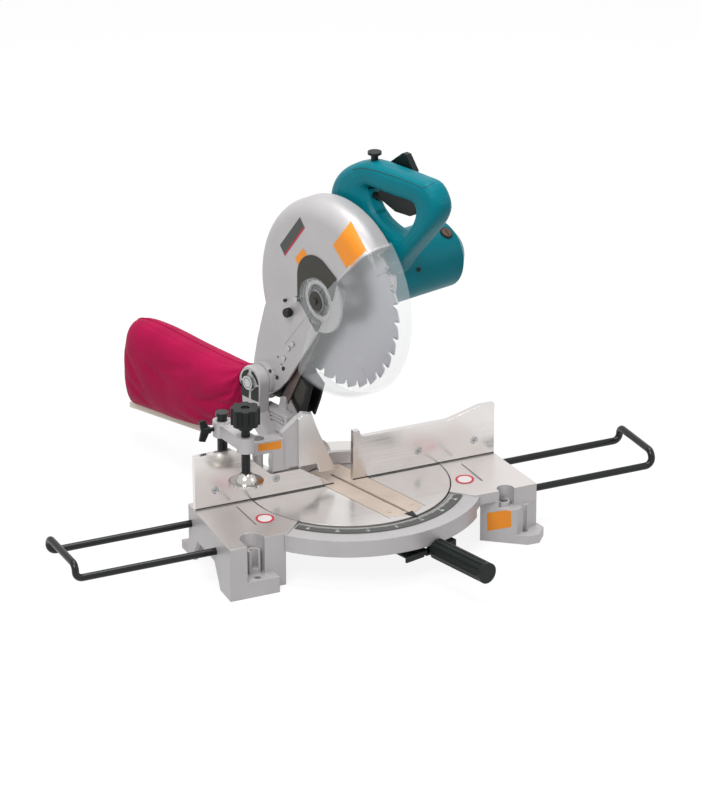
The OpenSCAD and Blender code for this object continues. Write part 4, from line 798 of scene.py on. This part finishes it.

# %% [markdown]
# ## Hollows that read dark
# Small hollows hold shadow: four pockets cast round the hinge bolt, the edge of its washer and open screw holes in the
# cover's tail. They are too fine to cut in CAD, so each one is a thin inlay on its carrier, painted with the shade it
# holds. The pockets are laid out on the flat outer face of the arm's ear, where the lines of sight meet that plane.

# %% Hinge pockets and screw holes
# Two flat colours are painted shade: a mid grey for shallow slots and a near black for deep hollows, gaps and cuts.
slot_shade, painted_deep_shade = (
    surface(name, colour, 0.7, **FOIL_LOOKS)[0] for name, colour in (
        ("enamel_in_shade", "#7C7A79"), ("enamel_in_deep_shade", "#2C2F2C")))
EAR_FACE, EAR_PIXEL, BOSS_PIXEL, SPREAD = -55.15 * MM, (249.9, 382.0), (250.2, 381.8), (1.15, 1.08)
POCKETS = {
    "rear_top": [(243, 378.3), (243.2, 374.8), (244.5, 371.9), (247, 370.3), (249.2, 370), (249.2, 372.8),
                 (247.3, 375.4), (245.5, 378.3)],
    "front_top": [(251.3, 371.4), (253.4, 372.6), (255.6, 376.6), (257.2, 380.8), (258, 385.3), (256.3, 384),
                  (255, 380.2), (253.1, 376.7), (251.3, 373.8)],
    "rear_low": [(242.7, 380.1), (245.3, 380.8), (246, 384), (249.4, 389.4), (249.2, 396.8), (242.7, 393.3)],
    "front_low": [(255, 386.6), (257.8, 386.2), (257.8, 400.6), (251.1, 397.7), (251.1, 390.4), (253.4, 389.1)]}
HINGE_FACE, WASHER_EDGE = (-61, 142, 195), [(6.6, 0.1), (7.4, 0.1)]
TAIL_HOLES = ((270, 371.3), (283.4, 368.6), (277.1, 377.5))


def on_plane(px, py, normal, distance):
    """Where the line of sight through a pixel meets a plane."""
    ray = sight(px, py)
    return eye + ray * ((distance - eye.dot(normal)) / ray.dot(normal))


def lathe(foot, axis, outline, sides=40):
    """Points and faces of an outline of (radius, height) in millimetres turned about an axis."""
    side = axis.orthogonal().normalized()
    rise = axis.cross(side)
    verts = []
    for radius_mm, high in outline:
        for k in range(sides):
            a = 2 * math.pi * k / sides
            verts.append(foot + (axis * high + (side * math.cos(a) + rise * math.sin(a)) * radius_mm) * MM)
    return verts, tube(len(outline), sides)


for name, pixels in POCKETS.items():
    verts = [on_plane(*(ear + (p - boss) * spread for ear, p, boss, spread in
                        zip(EAR_PIXEL, pixel, BOSS_PIXEL, SPREAD)), ACROSS, EAR_FACE) for pixel in pixels]
    flat_faces = [list(f) for f in tessellate_polygon([verts])]
    piece(f"hinge_pocket_{name}", verts, flat_faces, painted_deep_shade, "arm", "cast_silver", smooth=False)
verts, faces = lathe(saw(*HINGE_FACE), -ACROSS, WASHER_EDGE)
piece("hinge_pin_ring", verts, faces[:-2], painted_deep_shade, "arm", "cast_silver", smooth=False)
for n, (cx, cy) in enumerate(TAIL_HOLES):
    sticker(f"tail_hole_{n}", disc(cx, cy, 1.7, 2.2, 0.05), "blade_cover", painted_deep_shade, "head", 1, (20, 2))
print("pockets:", len(POCKETS), "holes:", len(TAIL_HOLES))

# %% [markdown]
# ## Slots and seams
# A shallow slot is cast in the top of each wing. The kerf board lies in the table with a fine seam on each side, and
# the cut for the blade runs along its middle, with shade along both edges. The fences have a relief along the foot that
# lets sawdust fall away. Grooves this fine are drawn as thin strips painted with the shade inside them, and they stand
# a tenth of a millimetre proud at most.

# %% Wing slots
WING_SLOTS = (("left", (236.7, 506.6), (256.2, 524.6)), ("right", (461.8, 464), (482.6, 480.6)))
SLOT_PX, SLOT_LIFT, UPRIGHT = 0.9, 0.1 * MM, Vector((0, 0, 1))
for side, (ax, ay), (bx, by) in WING_SLOTS:
    corners = ((ax - SLOT_PX, ay), (ax + SLOT_PX, ay), (bx + SLOT_PX, by), (bx - SLOT_PX, by))
    verts = [on_plane(px, py, UPRIGHT, TABLE_TOP + SLOT_LIFT) for px, py in corners]
    piece(f"wing_slot_{side}", verts, [(0, 3, 2, 1)], slot_shade, "base", "cast_silver", smooth=False)
    print("wing slot", side, round((verts[2] - verts[1]).length / MM), "mm long")

# %% Kerf lines
KERF_HALF, SLOT_LINE, EDGE_LINE, LINE_LIFT = 1.9, 0.3, 0.35, 0.04 * MM
board = nodes["kerf_board"].data
board_top = max(v.co.z for v in board.vertices)
top_points = [v.co for v in board.vertices if v.co.z > board_top - 0.2 * MM]
deep = saw(0, 1000, 0)
edge_low, edge_high = (f(p.dot(ACROSS) for p in top_points) / MM for f in (min, max))
near, far = (f(p.dot(deep) for p in top_points) / MM for f in (min, max))
# Each strip is painted shade: the shadow inside the blade's cut and in the seams beside the board.
for name, x, half, y0, y1 in (
        ("kerf_slot_left", -KERF_HALF, SLOT_LINE, near + 14, far - 40),
        ("kerf_slot_right", KERF_HALF, SLOT_LINE, near + 14, far - 40),
        ("kerf_edge_left", edge_low, EDGE_LINE, near + 6, far - 6),
        ("kerf_edge_right", edge_high, EDGE_LINE, near + 6, far - 6)):
    verts = [saw(a, b, (board_top + LINE_LIFT) / MM)
             for a, b in ((x - half, y0), (x + half, y0), (x + half, y1), (x - half, y1))]
    piece(name, verts, [(0, 1, 2, 3)], painted_deep_shade, "turn_table", "kerf_tan", smooth=False)
print("kerf board from", round(edge_low, 1), "to", round(edge_high, 1), "mm across,",
      round(near), "to", round(far), "deep")

# %% Fence reliefs
RELIEF_HIGH, RELIEF_DEEP, PROUD, FOOT_GAP = 1.7 * MM, 0.3 * MM, 0.1 * MM, 0.2 * MM
# Each strip is painted shade in the gap along the fence's foot.
for name in ("fence_left", "fence_right"):
    low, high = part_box(name)
    front, foot = low.y - PROUD, TABLE_TOP + FOOT_GAP
    verts = [(x, y, z) for x in (low.x, high.x) for y in (front, front + RELIEF_DEEP)
             for z in (foot, foot + RELIEF_HIGH)]
    faces = [(0, 1, 5, 4), (2, 6, 7, 3), (0, 4, 6, 2), (1, 3, 7, 5), (0, 2, 3, 1), (4, 5, 7, 6)]
    piece(f"{name}_relief", verts, faces, painted_deep_shade, "base", "machined_aluminium", smooth=False)
    print(name, "front at", round(low.y / MM, 2), "mm, from", round(low.x / MM), "to", round(high.x / MM))

# %% [markdown]
# ## Handle details
# The two halves of the handle meet at a groove along the grip, and a link runs from the trigger to the guard's lock.
# The groove follows the handle's skin, so its path is found along the lines of sight; both are swept, one from a thin
# round profile and one from a rod with a block at its end.

# %% Handle details
GROOVE_PIXELS = [(353, 170), (363, 168.4), (381, 172.4), (399, 178.2), (416, 184.8), (423.6, 188), (434, 183)]
LINK_X, BLOCK_HALF = 38, 4.5
LINK_PATH = ((26, 464), (4, 476), (-14, 488))
BLOCK_PATH = ((-10, 490), (-12, 490.5), (-22, 492), (-23.5, 492.3))
OCTAGON = ((-1, -0.7), (-0.7, -1), (0.7, -1), (1, -0.7), (1, 0.7), (0.7, 1), (-0.7, 1), (-1, 0.7))
# The groove is a thin round strip of painted shade, for the shadow inside the groove.
groove_path = [under("handle_left", *p)[0] for p in catmull(GROOVE_PIXELS, 6)]
piece("handle_groove", *sweep(groove_path, circle(0.45, 6)), painted_deep_shade, "head", "teal_plastic")
link_path, block_path = ([saw(LINK_X, y, z) for y, z in path] for path in (LINK_PATH, BLOCK_PATH))
piece("lock_link", *sweep(link_path, circle(2.4)), black, "head", "black_plastic")
block_profile = [(a * BLOCK_HALF * MM, b * BLOCK_HALF * MM) for a, b in OCTAGON]
piece("lock_link_block", *sweep(block_path, block_profile), black, "head", "black_plastic", smooth=False)
print("groove:", len(groove_path), "points along the grip")

# %% [markdown]
# ## Dust chute
# The rubber chute has a rolled lip, a raised panel and a duct that runs back below the hinge to the bag. The lip is a
# swept bead, the duct is a row of rounded boxes that get lower towards the bag, and the panel is one outline with a
# smaller copy in front of it.

# %% Dust chute
CHUTE_LIP = [(59, 201), (66.4, 178), (77.6, 152), (89.4, 162), (99, 173.4), (105, 190)]
LIP_X, LIP_R = -17, 1.6
piece("chute_lip", *sweep([saw(LIP_X, y, z) for y, z in catmull(CHUTE_LIP, 5)], circle(LIP_R, 8)), rubber, "head",
      "black_plastic")

# The duct is a rubber part, and its black also stands in for the shade in the hollow between the arm's ears behind the
# chute.
DUCT = [((98, 186), 11), ((110, 178), 10), ((124, 172), 8.5), ((138, 169), 7), ((150, 171), 6)]
DUCT_X, DUCT_HALF, DUCT_ROUND, DUCT_SIDES = -4, 11.5, 0.5, 16
verts = []
for (y, z), high in DUCT:
    for k in range(DUCT_SIDES):
        a = 2 * math.pi * k / DUCT_SIDES
        verts.append(saw(DUCT_X + DUCT_HALF * boxed(math.cos(a), DUCT_ROUND), y,
                         z + high * boxed(math.sin(a), DUCT_ROUND)))
piece("chute_duct", verts, tube(len(DUCT), DUCT_SIDES), rubber, "head", "black_rubber")

CHUTE_PANEL = [(65, 200), (71, 181), (79, 166), (88, 171), (96, 182), (100, 194), (94, 210), (84, 217), (75, 209)]
PANEL_Y, PANEL_Z, PANEL_SHARE, PANEL_BACK, PANEL_FRONT = 83.5, 192, 0.86, -16.9, -18.4
count = len(CHUTE_PANEL)
verts = [saw(PANEL_BACK, y, z) for y, z in CHUTE_PANEL]
verts += [saw(PANEL_FRONT, PANEL_Y + (y - PANEL_Y) * PANEL_SHARE, PANEL_Z + (z - PANEL_Z) * PANEL_SHARE)
          for y, z in CHUTE_PANEL]
faces = net(2, count) + [list(range(count, 2 * count))]
piece("chute_panel", verts, faces, charcoal, "head", "black_plastic", smooth=False)
print("chute: duct of", len(DUCT), "sections and a panel of", count, "sides")

# %% [markdown]
# ## Motor and cover details
# The motor carries a brush holder with a slotted cap and a case screw, and the cover has a knob and a stud on its
# side. All but the slot are round, so they are turned from a short outline as they would be on a lathe.

# %% Motor and cover details
MOTOR_R, MOTOR_Y, MOTOR_Z, BRUSH_X, BRUSH_TILT = 47, -16.5, 381, 139.5, math.radians(33)
BRUSH_RING = [(7.05, -1.5), (9.2, -1.5), (9.2, 0.6), (8.4, 1.6), (7.05, 1.6)]
CAP_SLOT_HALF, CAP_SLOT_UP = 5.2, 2.05
CAP_SLOT = [(side * MM, rise * MM) for side, rise in ((-0.8, -0.1), (0.8, -0.1), (0.8, 0.15), (-0.8, 0.15))]
SCREW_PIXEL, SCREW = (418.6, 269.5), [(3.6, -1), (3.6, 0.8), (3.0, 1.4), (1.6, 1.4), (1.4, 0.4)]
COVER_TURNED = (
    ("cover_knob", (291.5, 311.4), [(3.2, -1), (3.2, 2), (6.2, 2.6), (6.6, 4), (6.6, 10), (5.6, 11.4), (1.0, 11.6)]),
    ("cover_stud", (286, 300), [(2.2, -1), (2.2, 3.4), (1.6, 4.2), (0.5, 4.3)]))

brush_axis = (saw(0, -math.sin(BRUSH_TILT), math.cos(BRUSH_TILT)) * 1000).normalized()
brush_foot = saw(BRUSH_X, MOTOR_Y, MOTOR_Z) + brush_axis * MOTOR_R * MM
piece("brush_ring", *lathe(brush_foot, brush_axis, BRUSH_RING), black, "head", "black_plastic")
# The cap's slot is a thin strip of painted shade, for the shadow inside it.
slot_along = brush_axis.cross(ACROSS).normalized()
slot_path = [brush_foot + brush_axis * CAP_SLOT_UP * MM + slot_along * t * MM for t in (-CAP_SLOT_HALF, CAP_SLOT_HALF)]
piece("brush_slot", *sweep(slot_path, CAP_SLOT), painted_deep_shade, "head", "brush_brown", smooth=False)
piece("case_screw", *lathe(*under("motor_housing", *SCREW_PIXEL), SCREW), black, "head", "black_plastic")
for name, pixel, outline in COVER_TURNED:
    piece(name, *lathe(under("blade_cover", *pixel)[0], -ACROSS, outline, 24), black, "head", "black_plastic")

# %% Finish
low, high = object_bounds()
print("visual size:", [round(v, 3) for v in high - low])
